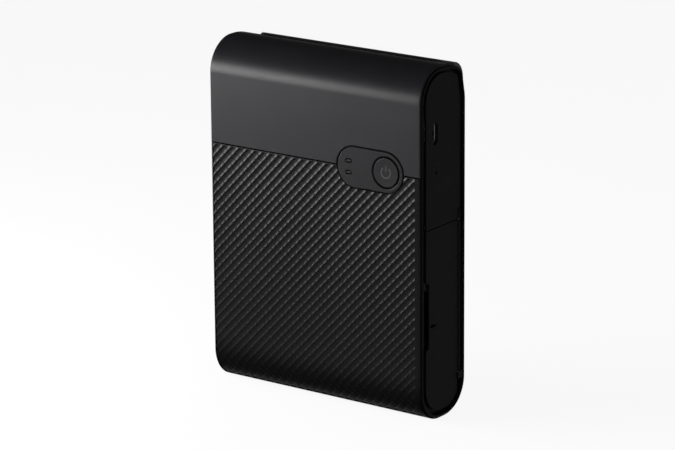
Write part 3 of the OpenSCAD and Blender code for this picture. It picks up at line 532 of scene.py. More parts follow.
def cover(name, casing, at, heading, moves):
    """A cover: a thin sheet over the ends, made thicker inside between the end frames."""
    w = casing.width / 2
    obj = swept(name, at, heading, moves, -w, w, 0, casing.lip)
    with editing(obj):
        for x in (-casing.lip_reach, casing.lip_reach):
            select_every()
            bpy.ops.mesh.bisect(plane_co=(x, 0, 0), plane_no=(1, 0, 0))
        select_none()
        pick(obj, "FACE", lambda f: facing(casing, f) == "inner"
             and abs(f.calc_center_median().x) < casing.lip_reach)
        bpy.ops.mesh.extrude_region_shrink_fatten(
            TRANSFORM_OT_shrink_fatten={"value": casing.wall - casing.lip, "use_even_offset": True})
    return obj


def weigh_cover(obj, casing):
    """The rounding of a cover's ends and seams."""
    share = casing.rim / casing.edge
    weigh(obj, lambda e: between(casing, e, "end", "outer"), 1.0)
    weigh(obj, lambda e: between(casing, e, "rim", "outer"), share)


def island_cutter(casing, controls, grow):
    straight = (controls.island_wide - controls.island_high) / 2
    front = -casing.depth / 2
    return stretched_rod("island_cutter", controls.island_high / 2 + grow,
                         (controls.island_x, front - 2, casing.seam),
                         (controls.island_x, front + casing.wall + 2, casing.seam), 0, straight, 96)


# ---------------------------------------------------------------- finishes


def new_material(name):
    material = bpy.data.materials.new(name)
    material.use_nodes = True
    return material, material.node_tree, material.node_tree.nodes["Principled BSDF"]


def node(tree, kind, inputs=(), **values):
    """Adds a node, sets its values, and links or sets its inputs by name or number."""
    made = tree.nodes.new(kind)
    for key, value in values.items():
        setattr(made, key, value)
    feed(tree, made, dict(inputs))
    return made


def coordinates(tree):
    return node(tree, "ShaderNodeTexCoord").outputs["Object"]


def noise(tree, scale, detail=2.0, rough=0.5, vector=None):
    return node(tree, "ShaderNodeTexNoise", {"Vector": vector or coordinates(tree), "Scale": scale,
                                             "Detail": detail, "Roughness": rough}).outputs["Fac"]


def ramp(tree, value, low, high, start=0.3, end=0.7):
    made = node(tree, "ShaderNodeValToRGB", {"Fac": value})
    made.color_ramp.elements[0].color = (*low, 1)
    made.color_ramp.elements[1].color = (*high, 1)
    made.color_ramp.elements[0].position = start
    made.color_ramp.elements[1].position = end
    return made.outputs["Color"]


def spread(tree, value, low, high, start=0.25, end=0.75, **values):
    """Maps what lies between start and end to between low and high."""
    return node(tree, "ShaderNodeMapRange", {"Value": value, "To Min": low, "To Max": high,
                                             "From Min": start, "From Max": end},
                **values).outputs["Result"]


def bump(tree, height, strength, distance):
    return node(tree, "ShaderNodeBump", {"Height": height, "Strength": strength,
                                         "Distance": distance}).outputs["Normal"]


def feed(tree, shader, values):
    """Links or sets the shader's inputs by name."""
    for key, value in values.items():
        if isinstance(value, bpy.types.NodeSocket):
            tree.links.new(value, shader.inputs[key])
        else:
            shader.inputs[key].default_value = value


def plainly_seen(tree):
    """1 for rays of the camera, of gloss and of glass."""
    paths = node(tree, "ShaderNodeLightPath")
    seen = paths.outputs["Is Camera Ray"]
    for other in ("Is Glossy Ray", "Is Transmission Ray"):
        seen = node(tree, "ShaderNodeMath", {0: seen, 1: paths.outputs[other]},
                    operation="MAXIMUM").outputs[0]
    return seen


def times(rgb, k):
    return tuple(min(1.0, c * k) for c in rgb)


PAINTED_SHADE_GLOSS, PAINTED_SHADE_COLOUR = 0.08, 0.2  # shares of gloss and colour that are left at the foot, where shade is painted in


def moulded_plastic(name, rgb, rough=0.42, grain=5200, relief=0.12, specular=0.5, vary=0.10,
                    painted_shade_below=None):
    """Injection-moulded plastic: fine spark texture, slightly uneven in colour and gloss, and, if
    asked, with painted shade near the foot: colour and gloss darkened towards the bottom."""
    material, tree, shader = new_material(name)
    tint = ramp(tree, noise(tree, 55, 3.0), times(rgb, 1 - vary), times(rgb, 1 + vary))
    gloss = specular
    # painted shade: between the two given heights the colour and the gloss are darkened towards the
    # foot
    if painted_shade_below:
        height = node(tree, "ShaderNodeSeparateXYZ", {0: coordinates(tree)}).outputs["Z"]
        gloss = spread(tree, height, specular * PAINTED_SHADE_GLOSS, specular, *painted_shade_below,
                       interpolation_type="SMOOTHSTEP")
        share = spread(tree, gloss, PAINTED_SHADE_COLOUR, 1.0, specular * PAINTED_SHADE_GLOSS, specular)
        tint = node(tree, "ShaderNodeVectorMath", {0: tint, "Scale": share},
                       operation="SCALE").outputs["Vector"]
    # the socket's own value counts wherever a link to it is lost
    shader.inputs["Specular IOR Level"].default_value = specular
    feed(tree, shader, {
        "Base Color": tint, "Specular IOR Level": gloss,
        "Roughness": spread(tree, noise(tree, 900, 2.0), rough - 0.05, rough + 0.05),
        "Normal": bump(tree, noise(tree, grain, 2.0, 0.6), relief, 0.00003)})
    return material


def metal(name, rgb, rough=0.28, stretch=(1, 40, 40), scale=300, relief=0.1):
    """Sheet, turned or plated metal, with its grain stretched one way."""
    material, tree, shader = new_material(name)
    mapped = node(tree, "ShaderNodeMapping", {"Vector": coordinates(tree), "Scale": stretch})
    grain = noise(tree, scale, 3.0, 0.6, mapped.outputs["Vector"])
    feed(tree, shader, {
        "Base Color": ramp(tree, grain, times(rgb, 0.86), times(rgb, 1.08)), "Metallic": 1.0,
        "Roughness": spread(tree, grain, rough - 0.08, rough + 0.1),
        "Normal": bump(tree, grain, relief, 0.00002)})
    return material


def rubber(name, rgb):
    """Ground roller rubber: dull, with a fine open grain."""
    material, tree, shader = new_material(name)
    grain = noise(tree, 2600, 4.0, 0.7)
    feed(tree, shader, {
        "Base Color": ramp(tree, grain, times(rgb, 0.7), times(rgb, 1.4)),
        "Normal": bump(tree, grain, 0.4, 0.00005), "Roughness": spread(tree, grain, 0.7, 0.9),
        "Specular IOR Level": 0.3})
    return material


def circuit_board(name):
    """Green solder mask over copper tracks."""
    material, tree, shader = new_material(name)
    where = coordinates(tree)
    tracks = node(tree, "ShaderNodeTexBrick", {"Vector": node(
        tree, "ShaderNodeMapping", {"Vector": where, "Rotation": (math.radians(90), 0, 0)}
    ).outputs["Vector"], "Scale": 420.0, "Mortar Size": 0.06, "Color1": (0.012, 0.075, 0.032, 1),
        "Color2": (0.014, 0.085, 0.036, 1), "Mortar": (0.045, 0.19, 0.07, 1)})
    pads = node(tree, "ShaderNodeTexVoronoi", {"Vector": where, "Scale": 480.0})
    dots = node(tree, "ShaderNodeMath", {0: pads.outputs["Distance"], 1: 0.12},
                operation="LESS_THAN")
    mixed = node(tree, "ShaderNodeMix", {0: dots.outputs[0], 6: tracks.outputs["Color"],
                                         7: (0.62, 0.60, 0.52, 1)}, data_type="RGBA")
    feed(tree, shader, {"Base Color": mixed.outputs[2],
                        "Normal": bump(tree, tracks.outputs["Fac"], 0.3, 0.00004),
                        "Roughness": spread(tree, noise(tree, 700), 0.25, 0.4)})
    return material


def film(name, rgb, dye):
    """Glossy dye film, in broad bands of slightly different colour."""
    material, tree, shader = new_material(name)
    bands = node(tree, "ShaderNodeTexWave", {"Vector": coordinates(tree), "Scale": 12.0,
                                             "Distortion": 0.4}, bands_direction="Z")
    feed(tree, shader, {"Base Color": ramp(tree, bands.outputs["Color"], rgb, dye),
                        "Roughness": spread(tree, noise(tree, 250, 3.0), 0.12, 0.22)})
    return material


def paper(name):
    """Coated paper seen at its cut edges: thin layers."""
    material, tree, shader = new_material(name)
    layers = node(tree, "ShaderNodeTexWave", {"Vector": coordinates(tree), "Scale": 700.0,
                                              "Distortion": 1.2}, bands_direction="Y")
    feed(tree, shader, {
        "Base Color": ramp(tree, layers.outputs["Color"], (0.62, 0.61, 0.58), (0.86, 0.86, 0.84)),
        "Roughness": spread(tree, noise(tree, 900), 0.3, 0.45)})
    return material


# Each slot's maker, the material's name, its colour (a word is one of the Finishes) and the rest.
FINISHES = {
    "smooth_cover": (moulded_plastic, "smooth cover", "cover", 0.36, 5200, 0.12, 0.15),
    # the beaded panel's last pair: the heights, in metres, over which painted shade darkens its
    # foot
    "knurled_panel": (moulded_plastic, "beaded panel", "beads", 0.30, 4200, 0.10, 0.075, 0.10,
                      (0.006, 0.022)),
    "end_frame": (moulded_plastic, "end frame", "ring", 0.36, 5200, 0.10, 0.014),
    "side_panel": (moulded_plastic, "side panel", "side", 0.50, 4600, 0.12, 0.02),
    "island": (moulded_plastic, "control island", "island", 0.36, 5200, 0.10, 0.105),
    "light_window": (moulded_plastic, "light window", "window", 0.25, 800, 0.02, 0.2),
    "symbol": (moulded_plastic, "symbol print", "symbol", 0.5, 5200, 0.06, 0.3),
    "mark": (moulded_plastic, "mark print", "mark", 0.6, 5200, 0.06, 0.0),
    "inner_plastic": (moulded_plastic, "inner plastic", (0.026, 0.026, 0.029), 0.5, 2600, 0.3),
    "cassette_plastic": (moulded_plastic, "cassette plastic", (0.055, 0.058, 0.066), 0.45, 3200,
                         0.25),
    "component_black": (moulded_plastic, "component epoxy", (0.016, 0.016, 0.017), 0.55, 3000,
                        0.25),
    "led": (moulded_plastic, "light emitter", (0.72, 0.70, 0.52), 0.3, 2000, 0.1),
    "battery_wrap": (moulded_plastic, "battery wrap", (0.17, 0.18, 0.20), 0.35, 350, 0.5, 0.5,
                     0.2),
    "ceramic": (moulded_plastic, "ceramic", (0.66, 0.64, 0.58), 0.25, 2400, 0.08),
    "acetal": (moulded_plastic, "acetal", (0.70, 0.70, 0.67), 0.38, 2200, 0.1, 0.5, 0.05),
    "sheet_steel": (metal, "sheet steel", (0.52, 0.53, 0.55), 0.34, (1, 6, 60), 220, 0.12),
    "bright_steel": (metal, "bright steel", (0.66, 0.67, 0.69), 0.2, (60, 1, 1), 500, 0.06),
    "connector_shell": (metal, "plated shell", (0.60, 0.61, 0.63), 0.25, (30, 1, 1), 400, 0.05),
    "aluminium": (metal, "aluminium", (0.62, 0.63, 0.65), 0.36, (1, 50, 50), 260, 0.2),
    "motor_can": (metal, "motor can", (0.55, 0.56, 0.58), 0.3, (40, 1, 1), 300, 0.08),
    "brass": (metal, "brass", (0.66, 0.48, 0.19), 0.28, (30, 1, 1), 400, 0.08),
    "circuit_board": (circuit_board, "circuit board"),
    "roller_rubber": (rubber, "roller rubber", (0.020, 0.020, 0.021)),
    "ink_film": (film, "ink film", (0.030, 0.020, 0.075), (0.060, 0.022, 0.050)),
    "photo_paper": (paper, "photo paper"),
}
MATERIALS = {}


def finish(context, name):
    """The material of a slot, made the first time that it is asked for."""
    if name not in MATERIALS:
        maker, title, *values = FINISHES[name]
        if values and isinstance(values[0], str):
            values[0] = getattr(sizes(context, "finishes"), values[0])
        MATERIALS[name] = maker(title, *values)
    return MATERIALS[name]


# ---------------------------------------------------------------- the pieces


class PrinterOperator:
    """What the operators share."""
    bl_options = {"REGISTER", "UNDO"}

    def execute(self, context):
        self.build(context)
        return {"FINISHED"}


class PRINTER_OT_upper_cover(PrinterOperator, bpy.types.Operator):
    """Smooth front and top, from the seam over the front curve to the slot"""
    bl_idname = "printer.upper_cover"
    bl_label = "Upper cover"

    def build(self, context):
        casing, controls = sizes(context, "casing"), sizes(context, "controls")
        h = half(casing)
        low = casing.seam + casing.gap / 2
        crown = math.degrees(math.asin(casing.slot_front / h.crown))
        obj = cover("upper_cover_dressed", casing, (-h.d, low), 90,
                    [h.top - low, (casing.corner, 90), h.flat, (h.crown, crown)])
        cut(obj, island_cutter(casing, controls, controls.island_gap))
        weigh_cover(obj, casing)
        bevel(obj, casing.edge)
        complete(obj, "body", finish(context, "smooth_cover"), ["upper_cover"])


BED_FLOOR = 0.06  # plastic left below the beads' bed, where the covers are thinnest
OVERLAP = 0.02  # how far the beads' slab reaches into the walls of its bed
BEAD_ROWS = ((0.50, 0.00), (0.30, 0.06), (0.02, 0.14), (-0.14, 0.55), (-0.28, 1.00), (-0.34, 0.90),
             (-0.50, 0.00))  # place across the ridge, lower right last, and height there
BEAD_COLUMNS = (0.66, 0.92, 1.0, 1.0, 1.0, 0.92, 0.66)  # share of the height, along the ridge
FIRST_STEP = 1e-3  # share of a row's way that it goes while it is raised, so that rows stay apart


def bead(beads):
    """One bead: a grid whose rows are moved and raised, turned to stand on its corner."""
    count = len(BEAD_ROWS) - 1
    bpy.ops.object.select_all(action="DESELECT")
    bpy.ops.mesh.primitive_grid_add(x_subdivisions=count, y_subdivisions=count, size=1)
    obj = name_it("beads")
    for k, (place, height) in enumerate(BEAD_ROWS):
        row = 0.5 - k / count
        move_where(obj, lambda v: abs(v.co.y - row) < CLOSE and abs(v.co.z) < 1e-6,
                   (0, (place - row) * FIRST_STEP, height * beads.relief))
    for k, (place, _) in enumerate(BEAD_ROWS):
        row = 0.5 - k / count
        move_where(obj, lambda v: abs(v.co.y - row) < CLOSE,
                   (0, (place - row) * (1 - FIRST_STEP), 0))
    for k, share in enumerate(BEAD_COLUMNS):
        with editing(obj):
            pick(obj, "VERT", lambda v: abs(v.co.x + 0.5 - k / count) < 0.01)
            bpy.ops.transform.resize(value=(1, 1, share), center_override=(0, 0, 0))
    with editing(obj):
        select_every()
        bpy.ops.transform.rotate(value=math.radians(-45), orient_axis="Z",
                                 center_override=(0, 0, 0))
        bpy.ops.transform.resize(value=(beads.across / math.sqrt(2), beads.up / math.sqrt(2), 1),
                                 center_override=(0, 0, 0))
    return obj


def repeat(obj, count, step):
    modify(obj, "ARRAY", use_relative_offset=False, use_constant_offset=True,
           constant_offset_displace=step, count=count, use_merge_vertices=True,
           merge_threshold=CLOSE)


def bead_slab(casing, beads):
    """The beads as one slab: repeated flat, trimmed, closed below, and laid on the side profile."""
    w, r = casing.width / 2, casing.corner
    low = r - r * beads.wrap - OVERLAP
    high = casing.seam - casing.gap / 2 - beads.top + OVERLAP
    left, right = -w + beads.left - OVERLAP, w - beads.right + OVERLAP
    across, up = beads.across, beads.up
    obj = bead(beads)
    repeat(obj, math.ceil((right - left) / across) + 2, (across, 0, 0))
    repeat(obj, 2, (across / 2, up / 2, 0))
    repeat(obj, math.ceil((high - low) / up) + 2, (0, up, 0))
    with editing(obj):
        select_every()
        bpy.ops.transform.translate(value=(left - across + beads.shift_across % across,
                                           low - up + beads.shift_up % up, -beads.relief))
    for at, way in (((left, 0, 0), (-1, 0, 0)), ((right, 0, 0), (1, 0, 0)),
                    ((0, low, 0), (0, -1, 0)), ((0, high, 0), (0, 1, 0))):
        slice_off(obj, at, way, fill=False)
    floor = -casing.lip + OVERLAP
    with editing(obj):
        bpy.ops.mesh.select_mode(type="EDGE")
        bpy.ops.mesh.select_non_manifold(use_wire=False, use_multi_face=False,
                                         use_non_contiguous=False, use_verts=False)
        pull(0, 0, -1)
        bpy.ops.transform.resize(value=(1, 1, 0), center_override=(0, 0, floor))
        bpy.ops.mesh.edge_face_add()
        y = r
        while y > low:
            select_none()
            pick(obj, "FACE", lambda f: all(abs(v.co.z - floor) < 1e-4 for v in f.verts))
            bpy.ops.mesh.bisect(plane_co=(0, y, 0), plane_no=(0, 1, 0))
            y -= 1.2
    tidy(obj, 0.0001)
    flat = np.empty(len(obj.data.vertices) * 3)
    obj.data.vertices.foreach_get("co", flat)
    x, v, rise = flat.reshape(-1, 3).T
    turn = np.maximum(r - v, 0) / r
    reach_out = r + rise
    y = np.where(v < r, -(casing.depth / 2 - r) - reach_out * np.cos(turn),
                 -casing.depth / 2 - rise)
    z = np.where(v < r, r - reach_out * np.sin(turn), v)
    obj.data.vertices.foreach_set("co", np.column_stack((x, y, z)).ravel())
    obj.data.update()
    return tidy(obj, 0.0001)


class PRINTER_OT_front_panel(PrinterOperator, bpy.types.Operator):
    """Lower front, moulded with slanting beads, which wraps round the bottom corner"""
    bl_idname = "printer.front_panel"
    bl_label = "Beaded front panel"

    def build(self, context):
        casing, controls, beads = (sizes(context, n) for n in ("casing", "controls", "beads"))
        h = half(casing)
        top = casing.seam - casing.gap / 2
        obj = cover("front_panel_dressed", casing, (h.flat, 0), 180,
                    [2 * h.flat, (casing.corner, 90), top - casing.corner])
        weigh_cover(obj, casing)
        bevel(obj, casing.edge)
        # the shallow bed that the beads stand in
        wrap = math.degrees(beads.wrap)
        at = (-h.flat - casing.corner * math.cos(beads.wrap),
              casing.corner - casing.corner * math.sin(beads.wrap))
        bed = swept("bed", at, 90 + wrap, [(casing.corner, wrap), top - beads.top - casing.corner],
                    -h.w + beads.left, h.w - beads.right, -1.0, casing.lip - BED_FLOOR)
        cut(obj, bed)
        join(obj, bead_slab(casing, beads), solver="MANIFOLD")
        cut(obj, island_cutter(casing, controls, controls.island_gap), solver="MANIFOLD")
        complete(obj, "body", finish(context, "knurled_panel"), ["front_panel"],
                 angle=36, weighted=False)


PAPER_GAP = 0.3  # round the paper cover


def paper_hinge(casing):
    """Where the paper cover's hinge line runs, front to back and up."""
    return casing.depth / 2 - casing.barrel, casing.bay_low + 0.35 + casing.barrel


def door_hinge(casing, ends):
    """Where the door's hinge line stands across, and its lower end."""
    return ends.panel_outer - ends.panel_sheet + 0.6, casing.corner + 2.5


class PRINTER_OT_rear_cover(PrinterOperator, bpy.types.Operator):
    """Back, shoulder and the hood behind the slot, with the opening for paper"""
    bl_idname = "printer.rear_cover"
    bl_label = "Rear cover"

    def build(self, context):
        casing = sizes(context, "casing")
        h = half(casing)
        start_y = casing.slot_front + casing.gap
        lean = math.degrees(math.asin(start_y / h.crown))
        at = (start_y, h.crown_z + math.sqrt(h.crown ** 2 - start_y ** 2))
        end = math.degrees(math.asin(casing.gap / casing.corner))
        obj = cover("rear_cover_dressed", casing, at, -lean,
                    [(h.crown, h.crown_turn - lean), (casing.shoulder, 90 - h.crown_turn),
                     *back_moves(casing, h), (casing.corner, 90 - end)])
        weigh_cover(obj, casing)
        bevel(obj, casing.edge)
        slot_back = casing.slot_front + casing.slot_width
        # the hood: a bar of the hood's arc, ramped at its left end, hollow below
        hood_y, hood_z = h.shoulder_y - 0.55, h.shoulder_z + 0.9
        lean = math.degrees(math.asin((slot_back - hood_y) / casing.hood))
        hood_at = (slot_back, hood_z + math.sqrt(casing.hood ** 2 - (slot_back - hood_y) ** 2))
        x0, ramp_turn = casing.slot_left - casing.hood_lead, math.radians(50)
        hood = swept("hood", hood_at, -lean, [(casing.hood, 84 - lean)], x0, h.w, 0, 3.0)
        slice_off(hood, (x0, 0, casing.height - 3), (-math.sin(ramp_turn), 0, math.cos(ramp_turn)))
        cut(hood, profile_block("hollow", casing, x0 - 1, h.w + 1, casing.lip / 2))
        weigh(hood, lambda e: e.calc_face_angle(0) > 0.6 and min(v.co.z for v in e.verts) >
              h.shoulder_z + 1.7 and sum((f.normal for f in e.link_faces), Vector()).dot(
                  outward(casing, e.verts[0].co)) > 0.4, 1.0)
        bevel(hood, 0.3)
        join(obj, hood, solver="MANIFOLD")
        bay = casing.paper_width / 2 + PAPER_GAP
        hinge_y, hinge_z = paper_hinge(casing)
        cut(obj, block("slot", (casing.slot_left, casing.slot_front - 1, h.shoulder_z + 2),
                       (casing.slot_right, slot_back, casing.height + 5)),
            block("bay", (-bay, slot_back, casing.bay_low),
                  (bay, h.d + 1, casing.bay_high + PAPER_GAP)),
            solver="MANIFOLD")
        for side in (-1, 1):
            join(obj, rod("knuckle", casing.barrel, (side * 36.3, hinge_y, hinge_z),
                          (side * (bay + 0.2), hinge_y, hinge_z), 40), solver="MANIFOLD")
            cut(obj, rod("pin_hole", 0.56, (side * 30, hinge_y, hinge_z),
                         (side * (bay + 0.9), hinge_y, hinge_z), 32), solver="MANIFOLD")
        complete(obj, "body", finish(context, "smooth_cover"), ["rear_cover"])


class PRINTER_OT_paper_cover(PrinterOperator, bpy.types.Operator):
    """Cover of the paper bay, with its hinge barrels and finger notch"""
    bl_idname = "printer.paper_cover"
    bl_label = "Paper cover"

    def build(self, context):
        casing = sizes(context, "casing")
        h = half(casing)
        w = casing.paper_width / 2
        hinge_y, hinge_z = paper_hinge(casing)
        low = hinge_z + casing.barrel + 0.1
        moves = back_moves(casing, h)
        moves[-1] -= low - casing.corner
        obj = swept("paper_cover_dressed", (h.d - casing.back_step, h.shoulder_z), -90, moves,
                    -w, w, 0, casing.paper_sheet)
        slice_off(obj, (0, 0, casing.bay_high), (0, 0, 1))
        bevel(obj, 0.2, 2, "ANGLE", 50)
        for side in (-1, 1):
            left, right = sorted((side * 20, side * 36))
            join(obj, rod("barrel", casing.barrel, (side * 20, hinge_y, hinge_z),
                          (side * 36, hinge_y, hinge_z), 40),
                 block("web", (left, h.d - casing.paper_sheet, hinge_z),
                       (right, h.d, hinge_z + casing.barrel + 0.6)), solver="MANIFOLD")
        cut(obj, rod("finger", 6.0, (0, h.d - 0.6, casing.bay_high + 0.5),
                     (0, h.d + 1.4, casing.bay_high + 0.5), 64), solver="MANIFOLD")
        for side in (-1, 1):
            cut(obj, rod("pin_hole", 0.6, (side * 19, hinge_y, hinge_z),
                         (side * 37, hinge_y, hinge_z), 32), solver="MANIFOLD")
        complete(obj, "paper_cover", finish(context, "smooth_cover"),
                 ["paper_cover"])


BOSS = 4.0  # length of the hinge boss above the door
NOTCH_SLANT = 2.0  # how far the ends of the finger notch lean in
SHARP_EDGE = (0.15, 2, "ANGLE", 50)  # the bevel of the side panels' edges


class PRINTER_OT_end_frames(PrinterOperator, bpy.types.Operator):
    """The two end frames, whose edges show as rings round the sides"""
    bl_idname = "printer.end_frames"
    bl_label = "End frames"

    def build(self, context):
        casing, ends = sizes(context, "casing"), sizes(context, "ends")
        ring = profile_block("side_frame_right_dressed", casing, ends.ring_inner, ends.ring_outer,
                             ends.ring_inset)
        panel_in = ends.panel_outer - ends.panel_sheet - 0.1
        with editing(ring):
            pick(ring, "FACE", lambda f: f.normal.x > 0.9)
            bpy.ops.mesh.inset(thickness=ends.ring_width, use_even_offset=True)
            pull(panel_in - ends.ring_outer, 0, 0)
            bpy.ops.mesh.inset(thickness=ends.ledge, use_even_offset=True)
            select_none()
            pick(ring, "FACE", lambda f: f.normal.x < -0.9)
            bpy.ops.mesh.inset(thickness=ends.ring_width + ends.ledge, use_even_offset=True)
            select_none()
            pick(ring, "FACE", lambda f: abs(f.normal.x) > 0.9 and len(f.verts) > 8)
            bpy.ops.mesh.bridge_edge_loops()
        tidy(ring)
        weigh(ring, lambda e: all(abs(v.co.x - ends.ring_outer) < 0.01 for v in e.verts)
              and e.calc_face_angle(0) > 1.2, 1.0)
        bevel(ring, 0.3)
        left = mirrored_copy(ring, "side_frame_left_dressed")
        h = half(casing)
        hinge_x, low = door_hinge(casing, ends)
        join(ring, block("ear", (panel_in - 0.4, ends.hinge_y - 0.9, low - 3.2),
                         (ends.panel_outer + 0.4, h.d - ends.ring_inset - ends.ring_width + 0.1,
                          low - 0.3)))
        cut(ring, block("barrel_room",
                        (hinge_x - ends.barrel - 0.15, ends.hinge_y - 1.2, low - 0.3),
                        (panel_in + 1, h.d - ends.ring_inset - ends.ring_width,
                         ends.door_seam + BOSS + 0.2)))
        for obj, name in ((ring, "side_frame_right"), (left, "side_frame_left")):
            complete(obj, "body", finish(context, "end_frame"), [name])


class PRINTER_OT_side_panels(PrinterOperator, bpy.types.Operator):
    """The two side panels and the cassette door"""
    bl_idname = "printer.side_panels"
    bl_label = "Side panels and door"

    def build(self, context):
        casing, ends = sizes(context, "casing"), sizes(context, "ends")
        h = half(casing)
        outer, inner = ends.panel_outer, ends.panel_outer - ends.panel_sheet
        hinge_x, low = door_hinge(casing, ends)
        seam_low, seam_high = ends.door_seam - casing.gap / 2, ends.door_seam + casing.gap / 2

        def sheet(name, x0, x1):
            """The panels' outline, with its front edge set back."""
            made = profile_block(name, casing, x0, x1, ends.panel_inset)
            moved = profile_block("moved", casing, x0 - 1, x1 + 1, ends.panel_inset - 0.05)
            alone(moved)
            bpy.ops.transform.translate(value=(0, ends.panel_back, 0))
            return cut(made, moved, operation="INTERSECT")

        left = sheet("side_panel_left_dressed", -outer, -inner)
        cut(left, block("groove", (-outer - 1, -h.d - 1, seam_low),
                        (-outer + 0.3, h.d + 1, seam_high)))

        upper = sheet("side_panel_right_dressed", inner, outer)
        slice_off(upper, (0, 0, seam_high), (0, 0, -1))
        cut(upper, block("corner_room", (inner - 1, ends.hinge_y, 0),
                         (outer + 1, h.d + 1, seam_high + BOSS + 0.35)))
        bevel(upper, *SHARP_EDGE)
        straight = (ends.inlet_long - ends.inlet_wide) / 2
        join(upper, rod("boss", ends.barrel, (hinge_x, ends.hinge_y, seam_high),
                        (hinge_x, ends.hinge_y, seam_high + BOSS), 40))
        cut(upper, stretched_rod("inlet", ends.inlet_wide / 2 + 0.35,
                                 (inner - 0.5, ends.inlet_y, ends.inlet_z),
                                 (outer + 1, ends.inlet_y, ends.inlet_z), 2, straight),
            rod("reset", ends.reset, (inner - 3, ends.reset_y, ends.reset_z),
                (outer + 1, ends.reset_y, ends.reset_z), 32))

        door = sheet("cassette_door_dressed", inner, outer)
        slice_off(door, (0, 0, seam_low), (0, 0, 1))
        slice_off(door, (0, ends.hinge_y, 0), (0, 1, 0))
        front = -h.d + ends.panel_inset + ends.panel_back
        notch = block("notch", (inner - 2, -h.d, ends.notch_low - 1.2),
                      (outer + 1, front + ends.notch_depth, ends.notch_high + 1.2))
        for z, way in ((ends.notch_low, -1), (ends.notch_high, 1)):
            move_where(notch, lambda v: v.co.y > front and way * (v.co.z - z) > 0,
                       (0, 0, -way * NOTCH_SLANT))
        cut(door, notch)
        bevel(door, *SHARP_EDGE)
        for z in (24, 62):
            join(door, block("rib", (inner - 0.9, -8, z), (inner + 0.1, 6, z + 0.8)))
        latch_y = -h.d + ends.ring_inset + ends.ring_width + ends.ledge + 0.05
        join(door, block("latch", (inner - 1.2, latch_y + 0.5, 60),
                         (inner + 0.1, latch_y + 1.2, 66)),
             block("catch", (inner - 1.2, latch_y, 62), (inner - 0.6, latch_y + 1.2, 64)),
             rod("barrel", ends.barrel, (hinge_x, ends.hinge_y, low),
                 (hinge_x, ends.hinge_y, seam_low), 40))
        cut(door, block("ear_room", (inner - 1, ends.hinge_y - 1.2, 0),
                        (outer + 1, h.d, low - 0.15)))

        # a plain arrow, printed on the door, which points to the notch
        y, z = ends.arrow_y, ends.arrow_z
        back, face = outer - 0.05, outer + 0.02
        arrow = block("door_arrow", (back, y - 1.3, z - 1.1), (face, y + 0.6, z + 1.1))
        with editing(arrow):
            pick(arrow, "VERT", lambda v: v.co.y < y)
            bpy.ops.transform.resize(value=(1, 1, 0.02), center_override=(outer, y, z))
        join(arrow, block("shaft", (back, y + 0.5, z - 0.4), (face, y + 3.0, z + 0.4)))
        complete(arrow, "cassette_door", finish(context, "mark"))

        plastic = finish(context, "side_panel")
        complete(left, "body", plastic, ["side_panel_left"])
        complete(upper, "body", plastic, ["side_panel_right"])
        complete(door, "cassette_door", plastic, ["cassette_door"])


WINDOW_SUNK, WINDOW_RAISED = 1.4, 1.3  # rim of a light window behind the face; its middle before
SYMBOL_RADIUS, SYMBOL_STROKE, SYMBOL_OPENING = 2.15, 0.55, 76.0


